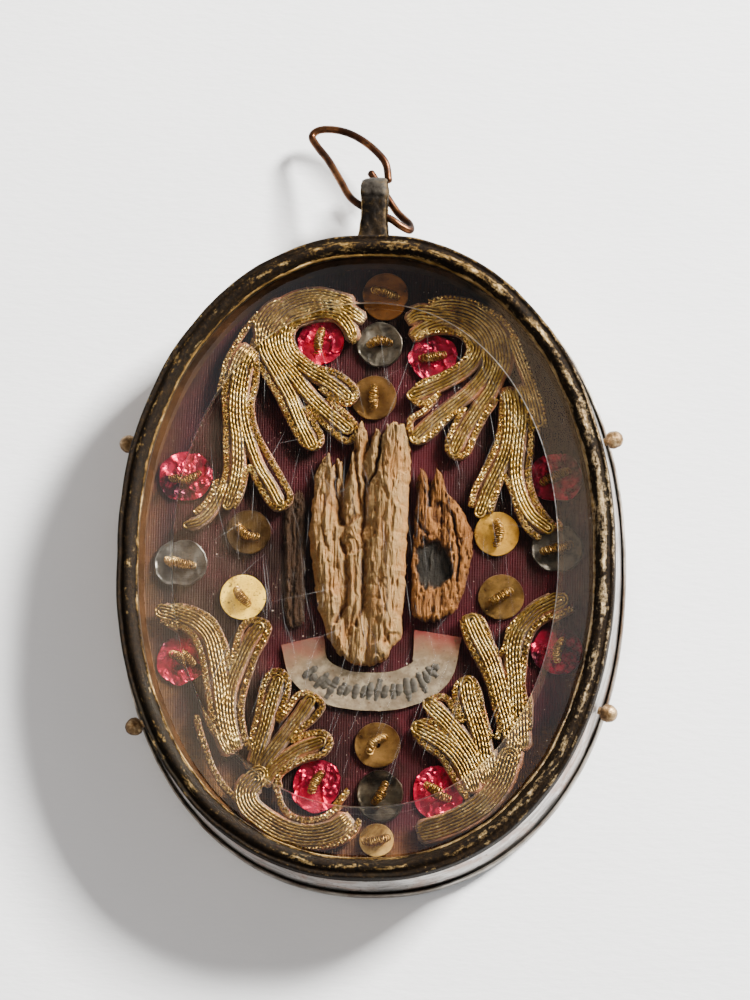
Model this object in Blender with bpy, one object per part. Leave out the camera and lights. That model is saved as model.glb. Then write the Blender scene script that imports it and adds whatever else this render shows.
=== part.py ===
# An oval glazed capsule reliquary, lying on its back with the glass up.
#
# A shallow metal tray carries an oval band, and a turned-over bezel holds a bevelled glass
# plate on top of it. Under the glass, on a pad of dark silk, lie three slivers of bone in a
# paper label, four leaf sprays of gilt wire ribbon, and sequins sewn down with gilt coils.
# A rolled lug at the head of the band carries a bent loop of copper wire.
#
# X runs to the right, Y towards the lug and Z up through the glass. The origin is the middle
# of the oval on the underside of the tray. Sizes are in millimetres times MM.

import math

import bmesh
import bpy
from mathutils import Vector

MM = 0.001

# Play left between two pieces that touch
GAP = 0.15 * MM

# The oval, measured round the outer edge of the bezel
HALF_WIDTH = 28.8 * MM
HALF_LENGTH = 37.7 * MM
FULLNESS = 2.14
HAND_WAVE = ((3, 0.0047, 0.0022), (2, 0.0, -0.0033), (5, 0.0012, 0.0))
OVAL_SIDES = 44

# Metal case
FLOOR_THICK = 0.6 * MM
TRAY_HEIGHT = 2.05 * MM
TRAY_WALL = 0.35 * MM
TRAY_PROUD = 0.95 * MM
TRAY_EDGE = 0.25 * MM
BAND_THICK = 0.7 * MM
BAND_TOP = 9.7 * MM
BEZEL_SKIRT = 0.35 * MM
SKIRT_DROP = 1.15 * MM
BEZEL_FACE = 2.5 * MM
BEZEL_LIP = 0.75 * MM
BEZEL_CROWN = 1.65 * MM
BEZEL_BEAD = 0.4 * MM
BEZEL_GROOVE = 0.28 * MM

# Glass plate with a wide bevel round a flat table
GLASS_EDGE = 0.5 * MM
GLASS_THICK = 2.35 * MM
BEVEL_AT_SIDES = 6.6 * MM
BEVEL_AT_ENDS = 8.3 * MM

# Lining strip and silk pad
LINING_THICK = 0.45 * MM
LINING_TOP_INSET = 1.35 * MM
LINING_FOOT_INSET = 3.1 * MM
SILK_TOP = 5.3 * MM
SILK_CROWN_INSET = 0.5 * MM

# The contents are drawn in steps: this many from the middle of the floor to the lining
# across and up, from the foot of the wirework up to the glass, and between the two layers
STEPS = (25.25, 34.15, 2.875, 0.47)

# What lies on the silk: sequins, bones and label first, the wirework a little higher
FIRST_LAYER = SILK_TOP + GAP
SEQUIN_THICK = 0.22 * MM
SEQUIN_DISH = 0.08 * MM
SEQUIN_SIDES = 10
FOIL_HEIGHT = 0.32 * MM
FOIL_FLOOR = 0.12 * MM
FOIL_WALL = 0.35 * MM
SECOND_LAYER = FIRST_LAYER + FOIL_HEIGHT + GAP

# Sequins as kind, across, up and radius, in steps
SEQUINS = (
    ("gold", 1.4, 31.2, 2.6),
    ("gold", 0.3, 19.4, 2.65),
    ("gold", -14.0, 3.5, 2.6),
    ("gold", -14.5, -4.2, 2.65),
    ("gold", 14.8, 3.3, 2.6),
    ("gold", 15.4, -4.1, 2.65),
    ("gold", 1.4, -21.4, 2.65),
    ("gold", 1.4, -31.8, 1.95),
    ("silver", 0.9, 25.7, 2.7),
    ("silver", -21.5, -0.2, 2.8),
    ("silver", 21.4, 1.6, 2.7),
    ("silver", 1.8, -27.0, 2.7),
    ("foil", -6.1, 26.1, 2.7),
    ("foil", 7.1, 24.2, 2.75),
    ("foil", -21.2, 10.0, 2.8),
    ("foil", -21.0, -11.4, 2.75),
    ("foil", 21.2, 9.9, 2.75),
    ("foil", 21.6, -10.2, 2.6),
    ("foil", -5.5, -25.8, 2.75),
    ("foil", 8.3, -26.6, 2.75),
)
# The coil that sews each sequin down, turned by this many degrees from X
COIL_TURNS = (-20, 90, -30, -50, 90, 30, 45, 10, 5, -15, 20, 60, 80, 10, 15, -35, 30, 75, 60, -25)
# its length and radius
COIL = (2.6, 0.6)
COIL_SIDES = 5

# Wire ribbons: half width, then the run of the ribbon's middle. Each later ribbon of a spray
# stands a little higher than the one before.
RIBBON_HEIGHTS = (0.85, 0.03)
RIBBON_STATIONS_APART = 3.3
RIBBON_SECTION = (
    (-1.0, 0.0),
    (-0.86, 0.62),
    (-0.62, 0.36),
    (-0.42, 1.0),
    (0.42, 1.0),
    (0.62, 0.36),
    (0.86, 0.62),
    (1.0, 0.0),
)
WIREWORK = {
    "wirework_upper_left": (
        (1.6, ((-15.9, 7.3), (-15.3, 13.0), (-15.2, 20.0), (-14.2, 25.6), (-10.6, 29.8),
               (-5.8, 31.5), (-1.6, 30.0))),
        (1.4, ((-15.7, 9.6), (-17.4, 6.2), (-21.6, 4.0))),
        (1.5, ((-15.0, 16.0), (-13.7, 12.6), (-9.8, 6.5))),
        (1.7, ((-2.2, 29.3), (-6.0, 30.2), (-9.6, 28.4), (-10.4, 24.4), (-7.6, 19.7), (-2.6, 15.2))),
        (1.4, ((-8.9, 26.8), (-8.0, 24.0), (-2.4, 18.9))),
        (1.5, ((-12.2, 25.6), (-10.8, 20.6), (-6.2, 13.1))),
    ),
    "wirework_upper_right": (
        (1.6, ((12.1, 6.2), (15.3, 12.2), (16.4, 17.6), (15.8, 23.0), (13.1, 27.9), (8.9, 30.3),
               (4.4, 29.1))),
        (1.5, ((16.2, 16.0), (16.6, 10.5), (18.4, 6.2), (21.2, 3.5))),
        (0.9, ((15.6, 25.6), (17.0, 21.6), (18.4, 17.0))),
        (1.7, ((5.0, 27.2), (8.4, 28.2), (12.1, 26.2), (12.9, 22.6), (9.8, 18.8), (5.8, 15.2))),
        (1.4, ((11.6, 24.6), (9.6, 21.4), (4.6, 20.0))),
        (1.5, ((14.8, 24.0), (12.8, 18.6), (9.7, 12.6))),
    ),
    "wirework_lower_left": (
        (1.7, ((-21.3, -5.3), (-18.0, -8.6), (-16.8, -15.0), (-15.8, -21.0), (-12.6, -26.4))),
        (1.4, ((-12.1, -7.2), (-14.4, -13.4), (-15.6, -19.6))),
        (1.4, ((-10.0, -13.2), (-11.5, -18.6), (-13.2, -24.6))),
        (1.4, ((-5.8, -16.3), (-9.6, -20.8), (-12.0, -26.0))),
        (1.5, ((-4.2, -21.3), (-8.6, -22.9), (-11.4, -27.2))),
        (1.6, ((-13.0, -24.6), (-11.6, -28.2), (-7.4, -31.1), (-2.2, -30.2))),
    ),
    "wirework_lower_right": (
        (1.6, ((21.4, -4.6), (17.8, -7.6), (16.6, -13.6), (16.6, -19.6), (14.2, -25.6))),
        (1.4, ((11.7, -6.5), (13.8, -12.4), (15.8, -19.2))),
        (1.4, ((11.6, -13.8), (12.8, -19.2), (14.6, -24.6))),
        (1.4, ((7.5, -16.4), (11.1, -20.8), (13.6, -26.0))),
        (1.5, ((6.0, -20.5), (10.0, -23.3), (13.0, -27.2))),
        (1.6, ((15.0, -23.4), (12.9, -28.0), (8.4, -30.8), (4.9, -30.8))),
    ),
}

# Bones in steps. Each grain line gives foot across, foot up, head across, head up, bow and height.
BONE_ROWS = 8
MAIN_BONE = (
    (-3.9, -10.4, -5.8, 11.2, -1.9, 0.6),
    (-3.0, -11.2, -4.7, 12.7, -1.7, 1.6),
    (-2.2, -11.7, -3.5, 11.8, -1.2, 1.9),
    (-1.5, -12.0, -2.4, 9.4, -0.7, 0.9),
    (-0.9, -12.2, -1.7, 13.2, -0.4, 1.7),
    (-0.2, -12.3, -0.6, 15.8, 0.0, 1.9),
    (0.5, -12.3, 0.2, 13.0, 0.1, 1.1),
    (1.2, -12.1, 1.2, 15.9, 0.2, 1.9),
    (2.0, -11.6, 2.3, 16.0, 0.2, 2.3),
    (2.9, -10.6, 3.6, 16.4, 0.3, 2.4),
    (3.8, -9.0, 4.3, 14.4, 0.2, 1.1),
)
RIGHT_BONE = (
    (5.2, -6.4, 5.4, 9.4, -0.4, 0.5),
    (6.1, -6.9, 6.2, 10.5, -0.3, 0.9),
    (7.1, -7.2, 7.1, 8.6, 0.2, 1.0),
    (8.0, -6.9, 8.1, 10.8, 0.6, 1.2),
    (8.9, -6.3, 9.2, 9.3, 1.3, 1.1),
    (9.7, -5.7, 10.0, 7.2, 2.2, 0.7),
)
LEFT_BONE = (
    (-9.2, -7.7, -9.9, 8.4, -0.1, 0.2),
    (-8.5, -7.9, -9.0, 8.2, 0.0, 0.37),
    (-7.8, -7.7, -8.2, 8.5, 0.1, 0.28),
    (-7.3, -7.4, -7.5, 8.0, -0.1, 0.34),
)
# where the right bone is worn through: across, up, half width and half length
HOLLOW = (7.3, -0.6, 1.5, 2.4)
HOLLOW_CUT = 3.0 * MM
HOLLOW_SIDES = 10

# Paper label, folded round the feet of the bones
LABEL_THICK = 0.2 * MM
LABEL_HALF_WIDTHS = (2.5, 2.2, 2.75)
LABEL_SPANS = 14
LABEL_RUN = ((-7.5, -9.2), (-6.6, -12.6), (-3.6, -14.6), (0.2, -15.2), (4.2, -14.8), (7.4, -12.8),
             (8.2, -8.4))

# Lug of rolled strip at the head of the band
LUG_WIDTH = 3.2 * MM
LUG_FLARE = 1.3 * MM
LUG_LENGTH = 8.0 * MM
LUG_THICK = 0.65 * MM
LUG_EYE_HEIGHT = 1.8 * MM
LUG_DROP = 2.4 * MM
LUG_FOOT = 0.9 * MM
LUG_FOOT_SPREAD = 1.35
LUG_SIDES = 16

# Bent copper wire, from the end behind the lug round to the other end, in shares of the
# lug's width, of its length, and of the drop that takes the wire clear under it
WIRE_RADIUS = 0.47 * MM
WIRE_POINTS = 34
WIRE_RUN = (
    (-0.281, 1.172, 1.083),
    (0.281, 0.835, 1.083),
    (0.781, 0.535, 1.014),
    (1.219, 0.347, 0.737),
    (1.281, 0.222, 0.369),
    (0.938, 0.272, 0.092),
    (0.562, 0.372, 0.000),
    (-0.281, 0.522, 0.000),
    (-0.906, 0.710, 0.276),
    (-1.344, 1.010, 0.645),
    (-1.812, 1.335, 1.060),
    (-2.250, 1.572, 1.429),
    (-2.469, 1.735, 1.613),
    (-2.250, 1.835, 1.659),
    (-1.750, 1.847, 1.613),
    (-1.125, 1.785, 1.521),
    (-0.531, 1.647, 1.382),
    (0.0, 1.46, 1.29),
    (0.312, 1.285, 1.244),
    (0.406, 1.060, 1.244),
)

# Bead-headed pins through the band, as side and share of the half length
PIN_PLACES = ((-1, 0.369), (1, 0.382), (1, -0.448), (-1, -0.493))
PIN_LEVEL = 4.6 * MM
PIN_HEAD = 1.05 * MM
PIN_NECK = 0.45 * MM
PIN_REACH = 0.35 * MM
PIN_SIDES = 8

# Points read between two drawn points of a run
RUN_SAMPLES = 12

# Heights that follow from the sizes above
BAND_FOOT = FLOOR_THICK + GAP
LIP_UNDER = BAND_TOP + GAP
SKIRT_FOOT = LIP_UNDER - SKIRT_DROP
BEZEL_TOP = LIP_UNDER + BEZEL_CROWN
BAND_OUT_FOOT = TRAY_PROUD - TRAY_WALL - GAP
BAND_OUT_TOP = -BEZEL_SKIRT - GAP
FILLING_OUT = BAND_OUT_TOP - BAND_THICK - GAP
# how far the bevel has risen where the lip of the bezel bears on it
LIP_REACH = BEZEL_FACE + FILLING_OUT
BEVEL_AT_LIP = (GLASS_THICK - GLASS_EDGE) * LIP_REACH / (BEVEL_AT_SIDES + FILLING_OUT)
GLASS_UNDER = LIP_UNDER - GAP - GLASS_EDGE - BEVEL_AT_LIP
LINING_TOP = GLASS_UNDER - GAP
LUG_LEVEL = SKIRT_FOOT - LUG_DROP
WIRE_DROP = LUG_EYE_HEIGHT / 2 + LUG_THICK + WIRE_RADIUS + GAP

# One step of the contents across, up and in height, and the smaller flat one for sizes
STEP_ACROSS = (HALF_WIDTH - LINING_FOOT_INSET - LINING_THICK) / STEPS[0]
STEP_UP = (HALF_LENGTH - LINING_FOOT_INSET - LINING_THICK) / STEPS[1]
STEP_HIGH = (GLASS_UNDER - SECOND_LAYER) / STEPS[2]
STEP_LOW = (SECOND_LAYER - FIRST_LAYER) / STEPS[3]
STEP = min(STEP_ACROSS, STEP_UP)


def material(name, colour, roughness, metallic=0.0):
    made = bpy.data.materials.new(name)
    made.use_nodes = True
    shader = made.node_tree.nodes["Principled BSDF"]
    shader.inputs["Base Color"].default_value = (*colour, 1.0)
    shader.inputs["Roughness"].default_value = roughness
    shader.inputs["Metallic"].default_value = metallic
    made.diffuse_color = (*colour, 1.0)
    return made


def outline(turn):
    wave = 1.0
    for count, cosine, sine in HAND_WAVE:
        wave += cosine * math.cos(count * turn) + sine * math.sin(count * turn)
    across = math.copysign(abs(math.sin(turn)) ** (2 / FULLNESS), math.sin(turn))
    along = math.copysign(abs(math.cos(turn)) ** (2 / FULLNESS), math.cos(turn))
    return Vector((HALF_WIDTH * across * wave, HALF_LENGTH * along * wave))


def oval(turn, out):
    # the outline moved outwards along its own normal
    step = 0.02
    run = (outline(turn + step) - outline(turn - step)).normalized()
    return outline(turn) + out * Vector((-run.y, run.x))


def laid(across, up):
    # a drawn place on the real floor
    return Vector((across * STEP_ACROSS, up * STEP_UP))


def turns():
    return [2 * math.pi * (side + 0.5) / OVAL_SIDES for side in range(OVAL_SIDES)]


def oval_loop(bm, out, height):
    return [bm.verts.new((*oval(turn, out), height)) for turn in turns()]


def join_loops(bm, lower, upper):
    for index in range(len(lower)):
        after = (index + 1) % len(lower)
        bm.faces.new((lower[index], lower[after], upper[after], upper[index]))


def finish(bm, name, look):
    bmesh.ops.recalc_face_normals(bm, faces=bm.faces)
    mesh = bpy.data.meshes.new(name)
    bm.to_mesh(mesh)
    bm.free()
    mesh.shade_smooth()
    mesh.set_sharp_from_angle(angle=math.radians(32))
    mesh.materials.append(look)
    made = bpy.data.objects.new(name, mesh)
    bpy.context.scene.collection.objects.link(made)
    return made


def ring(name, profile, look):
    # a closed profile of (out, height) points carried round the oval
    bm = bmesh.new()
    loops = [oval_loop(bm, out, height) for out, height in profile]
    for index, loop in enumerate(loops):
        join_loops(bm, loop, loops[(index + 1) % len(loops)])
    return finish(bm, name, look)


def disc(name, profile, look):
    # a profile that ends in a flat face below and a flat face above
    bm = bmesh.new()
    loops = [oval_loop(bm, out, height) for out, height in profile]
    for lower, upper in zip(loops, loops[1:]):
        join_loops(bm, lower, upper)
    bm.faces.new(loops[0])
    bm.faces.new(loops[-1])
    return finish(bm, name, look)


def band_out(height):
    share = (height - BAND_FOOT) / (BAND_TOP - BAND_FOOT)
    return BAND_OUT_FOOT + share * (BAND_OUT_TOP - BAND_OUT_FOOT)


def build_case():
    back = material("back metal", (0.42, 0.39, 0.35), 0.45, 1.0)
    inner_rim = TRAY_PROUD - TRAY_WALL
    disc(
        "back_plate",
        (
            (TRAY_PROUD - TRAY_EDGE, 0.0),
            (TRAY_PROUD, TRAY_EDGE),
            (TRAY_PROUD, TRAY_HEIGHT - TRAY_EDGE / 2),
            (TRAY_PROUD - TRAY_WALL / 2, TRAY_HEIGHT),
            (inner_rim, TRAY_HEIGHT - TRAY_EDGE / 2),
            (inner_rim, FLOOR_THICK),
        ),
        back,
    )
    silver = material("band silver", (0.5, 0.47, 0.44), 0.4, 1.0)
    middle = (BAND_FOOT + BAND_TOP) / 2
    ring(
        "case_band",
        (
            (BAND_OUT_FOOT, BAND_FOOT),
            (band_out(middle), middle),
            (BAND_OUT_TOP, BAND_TOP),
            (BAND_OUT_TOP - BAND_THICK, BAND_TOP),
            (band_out(middle) - BAND_THICK, middle),
            (BAND_OUT_FOOT - BAND_THICK, BAND_FOOT),
        ),
        silver,
    )
    gilt = material("bezel gilt", (0.22, 0.15, 0.06), 0.42, 1.0)
    bead_top = BEZEL_TOP - BEZEL_GROOVE
    ring(
        "bezel",
        (
            (0.0, SKIRT_FOOT),
            (0.0, bead_top - BEZEL_BEAD),
            (-BEZEL_BEAD / 2, bead_top),
            (-1.5 * BEZEL_BEAD, bead_top - BEZEL_GROOVE),
            (-0.45 * BEZEL_FACE, BEZEL_TOP),
            (-0.65 * BEZEL_FACE, BEZEL_TOP - BEZEL_GROOVE / 4),
            (-0.9 * BEZEL_FACE, LIP_UNDER + BEZEL_LIP),
            (-BEZEL_FACE, LIP_UNDER + 0.7 * BEZEL_LIP),
            (-BEZEL_FACE, LIP_UNDER),
            (-BEZEL_SKIRT, LIP_UNDER),
            (-BEZEL_SKIRT, SKIRT_FOOT),
        ),
        gilt,
    )


def build_glass():
    look = material("glass", (0.9, 0.93, 0.92), 0.05)
    look.node_tree.nodes["Principled BSDF"].inputs["Transmission Weight"].default_value = 1.0
    bm = bmesh.new()
    under = oval_loop(bm, FILLING_OUT, GLASS_UNDER)
    rim = oval_loop(bm, FILLING_OUT, GLASS_UNDER + GLASS_EDGE)
    table = []
    for turn in turns():
        point = outline(turn)
        across = point.x * (1 - BEVEL_AT_SIDES / HALF_WIDTH)
        along = point.y * (1 - BEVEL_AT_ENDS / HALF_LENGTH)
        table.append(bm.verts.new((across, along, GLASS_UNDER + GLASS_THICK)))
    join_loops(bm, under, rim)
    join_loops(bm, rim, table)
    bm.faces.new(under)
    bm.faces.new(table)
    finish(bm, "glass", look)


def build_lining():
    paper = material("lining paper", (0.32, 0.17, 0.07), 0.7)
    foot = SILK_TOP + GAP
    ring(
        "lining_strip",
        (
            (-LINING_FOOT_INSET, foot),
            (-LINING_TOP_INSET, LINING_TOP),
            (-LINING_TOP_INSET - LINING_THICK, LINING_TOP),
            (-LINING_FOOT_INSET - LINING_THICK, foot),
        ),
        paper,
    )
    silk = material("silk", (0.06, 0.012, 0.02), 0.6)
    disc(
        "silk_pad",
        (
            (FILLING_OUT, BAND_FOOT),
            (FILLING_OUT, SILK_TOP - SILK_CROWN_INSET),
            (FILLING_OUT - SILK_CROWN_INSET, SILK_TOP),
        ),
        silk,
    )


def smooth_run(points, samples):
    # a smooth curve through the points, read at even steps of its parameter
    spans = len(points) - 1
    ends = (2 * points[0] - points[1], *points, 2 * points[-1] - points[-2])
    run = []
    for index in range(spans * samples + 1):
        span = min(index // samples, spans - 1)
        share = index / samples - span
        a, b, c, d = ends[span : span + 4]
        run.append(
            0.5
            * (
                2 * b
                + (c - a) * share
                + (2 * a - 5 * b + 4 * c - d) * share**2
                + (3 * b - a - 3 * c + d) * share**3
            )
        )
    return run


def at_distances(run, distances):
    # points and directions of a run at the given distances along it
    reached = [0.0]
    for before, after in zip(run, run[1:]):
        reached.append(reached[-1] + (after - before).length)
    found = []
    for distance in distances:
        index = max(i for i in range(len(run) - 1) if reached[i] <= distance + 1e-12)
        step = run[index + 1] - run[index]
        share = (distance - reached[index]) / step.length
        found.append((run[index] + step * share, step.normalized()))
    return found


def run_length(run):
    return sum((after - before).length for before, after in zip(run, run[1:]))


def sweep(bm, stations, section):
    # stations drawn in steps; section points as (shares of the half width, height)
    loops = []
    for middle, direction, half, base, height in stations:
        side = Vector((direction.y, -direction.x))
        loop = []
        for across, up in section:
            flat = laid(*(middle + side * half * across))
            loop.append(bm.verts.new((*flat, base + height * up)))
        loops.append(loop)
    for lower, upper in zip(loops, loops[1:]):
        join_loops(bm, lower, upper)
    bm.faces.new(loops[0])
    bm.faces.new(loops[-1])


def ribbon(name, half, points, base, height, look):
    run = smooth_run([Vector(point) for point in points], RUN_SAMPLES)
    length = run_length(run)
    round_ends = ((0.0, 0.5, 0.55), (0.3 * half, 0.84, 0.85), (0.9 * half, 1.0, 1.0))
    body = length - 2 * round_ends[-1][0]
    spans = max(1, round(body / RIBBON_STATIONS_APART))
    marks = list(round_ends)
    marks += [(round_ends[-1][0] + body * i / spans, 1.0, 1.0) for i in range(1, spans)]
    marks += [(length - back, width, tall) for back, width, tall in reversed(round_ends)]
    places = at_distances(run, [mark[0] for mark in marks])
    stations = [
        (place, direction, half * width, base, height * tall)
        for (place, direction), (_, width, tall) in zip(places, marks)
    ]
    bm = bmesh.new()
    sweep(bm, stations, RIBBON_SECTION)
    return finish(bm, name, look)


def build_wirework():
    first_height, lift = RIBBON_HEIGHTS
    for name, ribbons in WIREWORK.items():
        gilt = material(name, (0.62, 0.45, 0.16), 0.35, 1.0)
        spray = None
        for order, (half, points) in enumerate(ribbons):
            base = SECOND_LAYER + order * lift * STEP_HIGH
            height = (first_height + order * lift) * STEP_HIGH
            label = name if spray is None else f"{name}_ribbon_{order}"
            piece = ribbon(label, half, points, base, height, gilt)
            if spray is None:
                spray = piece
                continue
            piece.hide_render = True
            piece.display_type = "WIRE"
            union = spray.modifiers.new(f"ribbon {order}", "BOOLEAN")
            union.operation = "UNION"
            union.solver = "EXACT"
            union.object = piece


def bone(name, lines, look, base=FIRST_LAYER, rise=STEP_HIGH):
    # a sliver whose grain lines run from foot to head, each at its own height
    bm = bmesh.new()
    top = []
    for order, (foot_x, foot_y, head_x, head_y, bow, height) in enumerate(lines):
        line = []
        for row in range(BONE_ROWS + 1):
            share = row / BONE_ROWS
            across = foot_x + (head_x - foot_x) * share + bow * math.sin(math.pi * share)
            up = foot_y + (head_y - foot_y) * share
            rough = 1.0 + 0.12 * math.sin(2.3 * row + 1.7 * order)
            end = 0.55 if row in (0, BONE_ROWS) else 1.0
            level = base + height * rise * rough * end
            line.append(bm.verts.new((*laid(across, up), level)))
        top.append(line)
    last = len(lines) - 1
    border = [top[0][row] for row in range(BONE_ROWS)]
    border += [top[column][BONE_ROWS] for column in range(last)]
    border += [top[last][row] for row in range(BONE_ROWS, 0, -1)]
    border += [top[column][0] for column in range(last, 0, -1)]
    for left, right in zip(top, top[1:]):
        for row in range(BONE_ROWS):
            bm.faces.new((left[row], right[row], right[row + 1], left[row + 1]))
    foot = [bm.verts.new((vert.co.x, vert.co.y, base)) for vert in border]
    join_loops(bm, foot, border)
    bm.faces.new(foot)
    return finish(bm, name, look)


def build_bones():
    bone("relic_main", MAIN_BONE, material("main bone", (0.6, 0.42, 0.25), 0.75))
    flake = bone(
        "relic_right",
        RIGHT_BONE,
        material("right bone", (0.36, 0.2, 0.1), 0.75),
        base=SECOND_LAYER,
    )
    bone(
        "relic_left",
        LEFT_BONE,
        material("left bone", (0.13, 0.07, 0.04), 0.8),
        rise=STEP_LOW,
    )
    # the right flake is worn through
    across, up, half_width, half_length = HOLLOW
    bm = bmesh.new()
    loops = []
    for height in (SECOND_LAYER - GAP, SECOND_LAYER + HOLLOW_CUT):
        loop = []
        for side in range(HOLLOW_SIDES):
            angle = 2 * math.pi * side / HOLLOW_SIDES
            edge = laid(across + half_width * math.cos(angle), up + half_length * math.sin(angle))
            loop.append(bm.verts.new((*edge, height)))
        loops.append(loop)
    join_loops(bm, *loops)
    bm.faces.new(loops[0])
    bm.faces.new(loops[1])
    cutter = finish(bm, "relic_right_hollow", flake.data.materials[0])
    cutter.hide_render = True
    cutter.display_type = "WIRE"
    cut = flake.modifiers.new("hollow", "BOOLEAN")
    cut.operation = "DIFFERENCE"
    cut.solver = "EXACT"
    cut.object = cutter


def build_label():
    paper = material("label paper", (0.62, 0.58, 0.52), 0.85)
    run = smooth_run([Vector(point) for point in LABEL_RUN], RUN_SAMPLES)
    length = run_length(run)
    places = at_distances(run, [length * i / LABEL_SPANS for i in range(LABEL_SPANS + 1)])
    first, middle, last = LABEL_HALF_WIDTHS
    stations = []
    for index, (place, direction) in enumerate(places):
        share = 2 * index / LABEL_SPANS - 1
        half = middle + (last - middle if share > 0 else first - middle) * share**2
        stations.append((place, direction, half, FIRST_LAYER, LABEL_THICK))
    bm = bmesh.new()
    sweep(bm, stations, ((-1.0, 0.0), (-1.0, 1.0), (1.0, 1.0), (1.0, 0.0)))
    finish(bm, "label", paper)


def circle(bm, middle, radius, height, sides, squash=1.0):
    loop = []
    for side in range(sides):
        angle = 2 * math.pi * side / sides
        reach = radius * (squash if side % 2 else 1.0)
        place = (middle.x + reach * math.cos(angle), middle.y + reach * math.sin(angle), height)
        loop.append(bm.verts.new(place))
    return loop


def flat_sequin(name, middle, radius, look):
    bm = bmesh.new()
    under = circle(bm, middle, radius, FIRST_LAYER, SEQUIN_SIDES)
    over = circle(bm, middle, radius, FIRST_LAYER + SEQUIN_THICK, SEQUIN_SIDES)
    join_loops(bm, under, over)
    bm.faces.new(under)
    hub = bm.verts.new((middle.x, middle.y, FIRST_LAYER + SEQUIN_THICK - SEQUIN_DISH))
    for index in range(SEQUIN_SIDES):
        bm.faces.new((over[index], over[(index + 1) % SEQUIN_SIDES], hub))
    finish(bm, name, look)


def foil_cup(name, middle, radius, look):
    # a crumpled saucer: its rim goes in and out, and its wall leans out
    sides = SEQUIN_SIDES
    foot_radius = radius - FOIL_HEIGHT / 2 - FOIL_WALL
    bm = bmesh.new()
    under = circle(bm, middle, foot_radius, FIRST_LAYER, sides)
    rim = circle(bm, middle, radius, FIRST_LAYER + FOIL_HEIGHT, sides, 0.92)
    floor = circle(bm, middle, foot_radius - FOIL_WALL / 2, FIRST_LAYER + FOIL_FLOOR, sides)
    join_loops(bm, under, rim)
    join_loops(bm, rim, floor)
    bm.faces.new(under)
    bm.faces.new(floor)
    finish(bm, name, look)


def coil(name, middle, turn, look):
    # one short length of gilt coil, as a rounded bar across the sequin's middle
    axis = Vector((math.cos(turn), math.sin(turn), 0.0))
    side = Vector((-axis.y, axis.x, 0.0))
    length, radius = (size * STEP for size in COIL)
    height = SECOND_LAYER + radius
    shape = ((-0.5, 0.45), (-0.36, 1.0), (0.36, 1.0), (0.5, 0.45))
    bm = bmesh.new()
    loops = []
    for along, share in shape:
        loop = []
        for index in range(COIL_SIDES):
            angle = 2 * math.pi * (index + 0.5) / COIL_SIDES
            ring_out = side * math.cos(angle) + Vector((0.0, 0.0, math.sin(angle)))
            place = Vector((middle.x, middle.y, height)) + axis * along * length
            loop.append(bm.verts.new(place + ring_out * radius * share))
        loops.append(loop)
    for lower, upper in zip(loops, loops[1:]):
        join_loops(bm, lower, upper)
    bm.faces.new(loops[0])
    bm.faces.new(loops[-1])
    finish(bm, name, look)


def build_sequins():
    looks = {
        "gold": ((0.6, 0.38, 0.12), 0.4, 1.0),
        "silver": ((0.12, 0.12, 0.12), 0.45, 1.0),
        "foil": ((0.55, 0.02, 0.06), 0.35, 0.6),
    }
    names = {"gold": "gold_sequin", "silver": "silver_sequin", "foil": "red_foil"}
    counts = dict.fromkeys(names, 0)
    for order, (kind, across, up, radius) in enumerate(SEQUINS):
        counts[kind] += 1
        name = f"{names[kind]}_{counts[kind]}"
        middle = laid(across, up)
        shape = foil_cup if kind == "foil" else flat_sequin
        shape(name, middle, radius * STEP, material(name, *looks[kind]))
        gilt = material(f"coil {order + 1}", (0.6, 0.42, 0.16), 0.3, 1.0)
        coil(f"gilt_coil_{order + 1:02d}", middle, math.radians(COIL_TURNS[order]), gilt)


def build_lug():
    # a strip rolled into a flat eye, with its foot soldered to the band
    head = outline(0.0).y
    inner_half = LUG_EYE_HEIGHT / 2
    outer_half = inner_half + LUG_THICK
    near = head + LUG_FOOT + LUG_THICK
    centre = (head + LUG_LENGTH + near) / 2
    half = head + LUG_LENGTH - centre
    outer = []
    inner = []
    for index in range(LUG_SIDES):
        angle = 2 * math.pi * index / LUG_SIDES
        along = math.cos(angle)
        up = math.sin(angle)
        # both loops are rounded slots, and the outer one ends in a spread foot on the band
        push = math.copysign(abs(along) ** 0.45, along)
        lift = math.copysign(abs(up) ** 0.6, up)
        inner.append((centre + (half - LUG_THICK) * push, LUG_LEVEL + inner_half * lift))
        if along < -0.3:
            height = LUG_LEVEL + outer_half * lift * LUG_FOOT_SPREAD
            outer.append((head + band_out(height) + GAP, height))
        else:
            outer.append((centre + half * push, LUG_LEVEL + outer_half * lift))
    bm = bmesh.new()
    rings = []
    for side in (-1, 1):
        made_outer = []
        for y, z in outer:
            flare = LUG_FLARE if y < head + LUG_FOOT else 0.0
            made_outer.append(bm.verts.new((side * (LUG_WIDTH + flare) / 2, y, z)))
        made_inner = [bm.verts.new((side * LUG_WIDTH / 2, y, z)) for y, z in inner]
        rings.append((made_outer, made_inner))
    (left_outer, left_inner), (right_outer, right_inner) = rings
    join_loops(bm, left_outer, left_inner)
    join_loops(bm, right_outer, right_inner)
    join_loops(bm, left_outer, right_outer)
    join_loops(bm, left_inner, right_inner)
    finish(bm, "suspension_lug", material("lug metal", (0.16, 0.13, 0.1), 0.5, 1.0))


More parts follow.
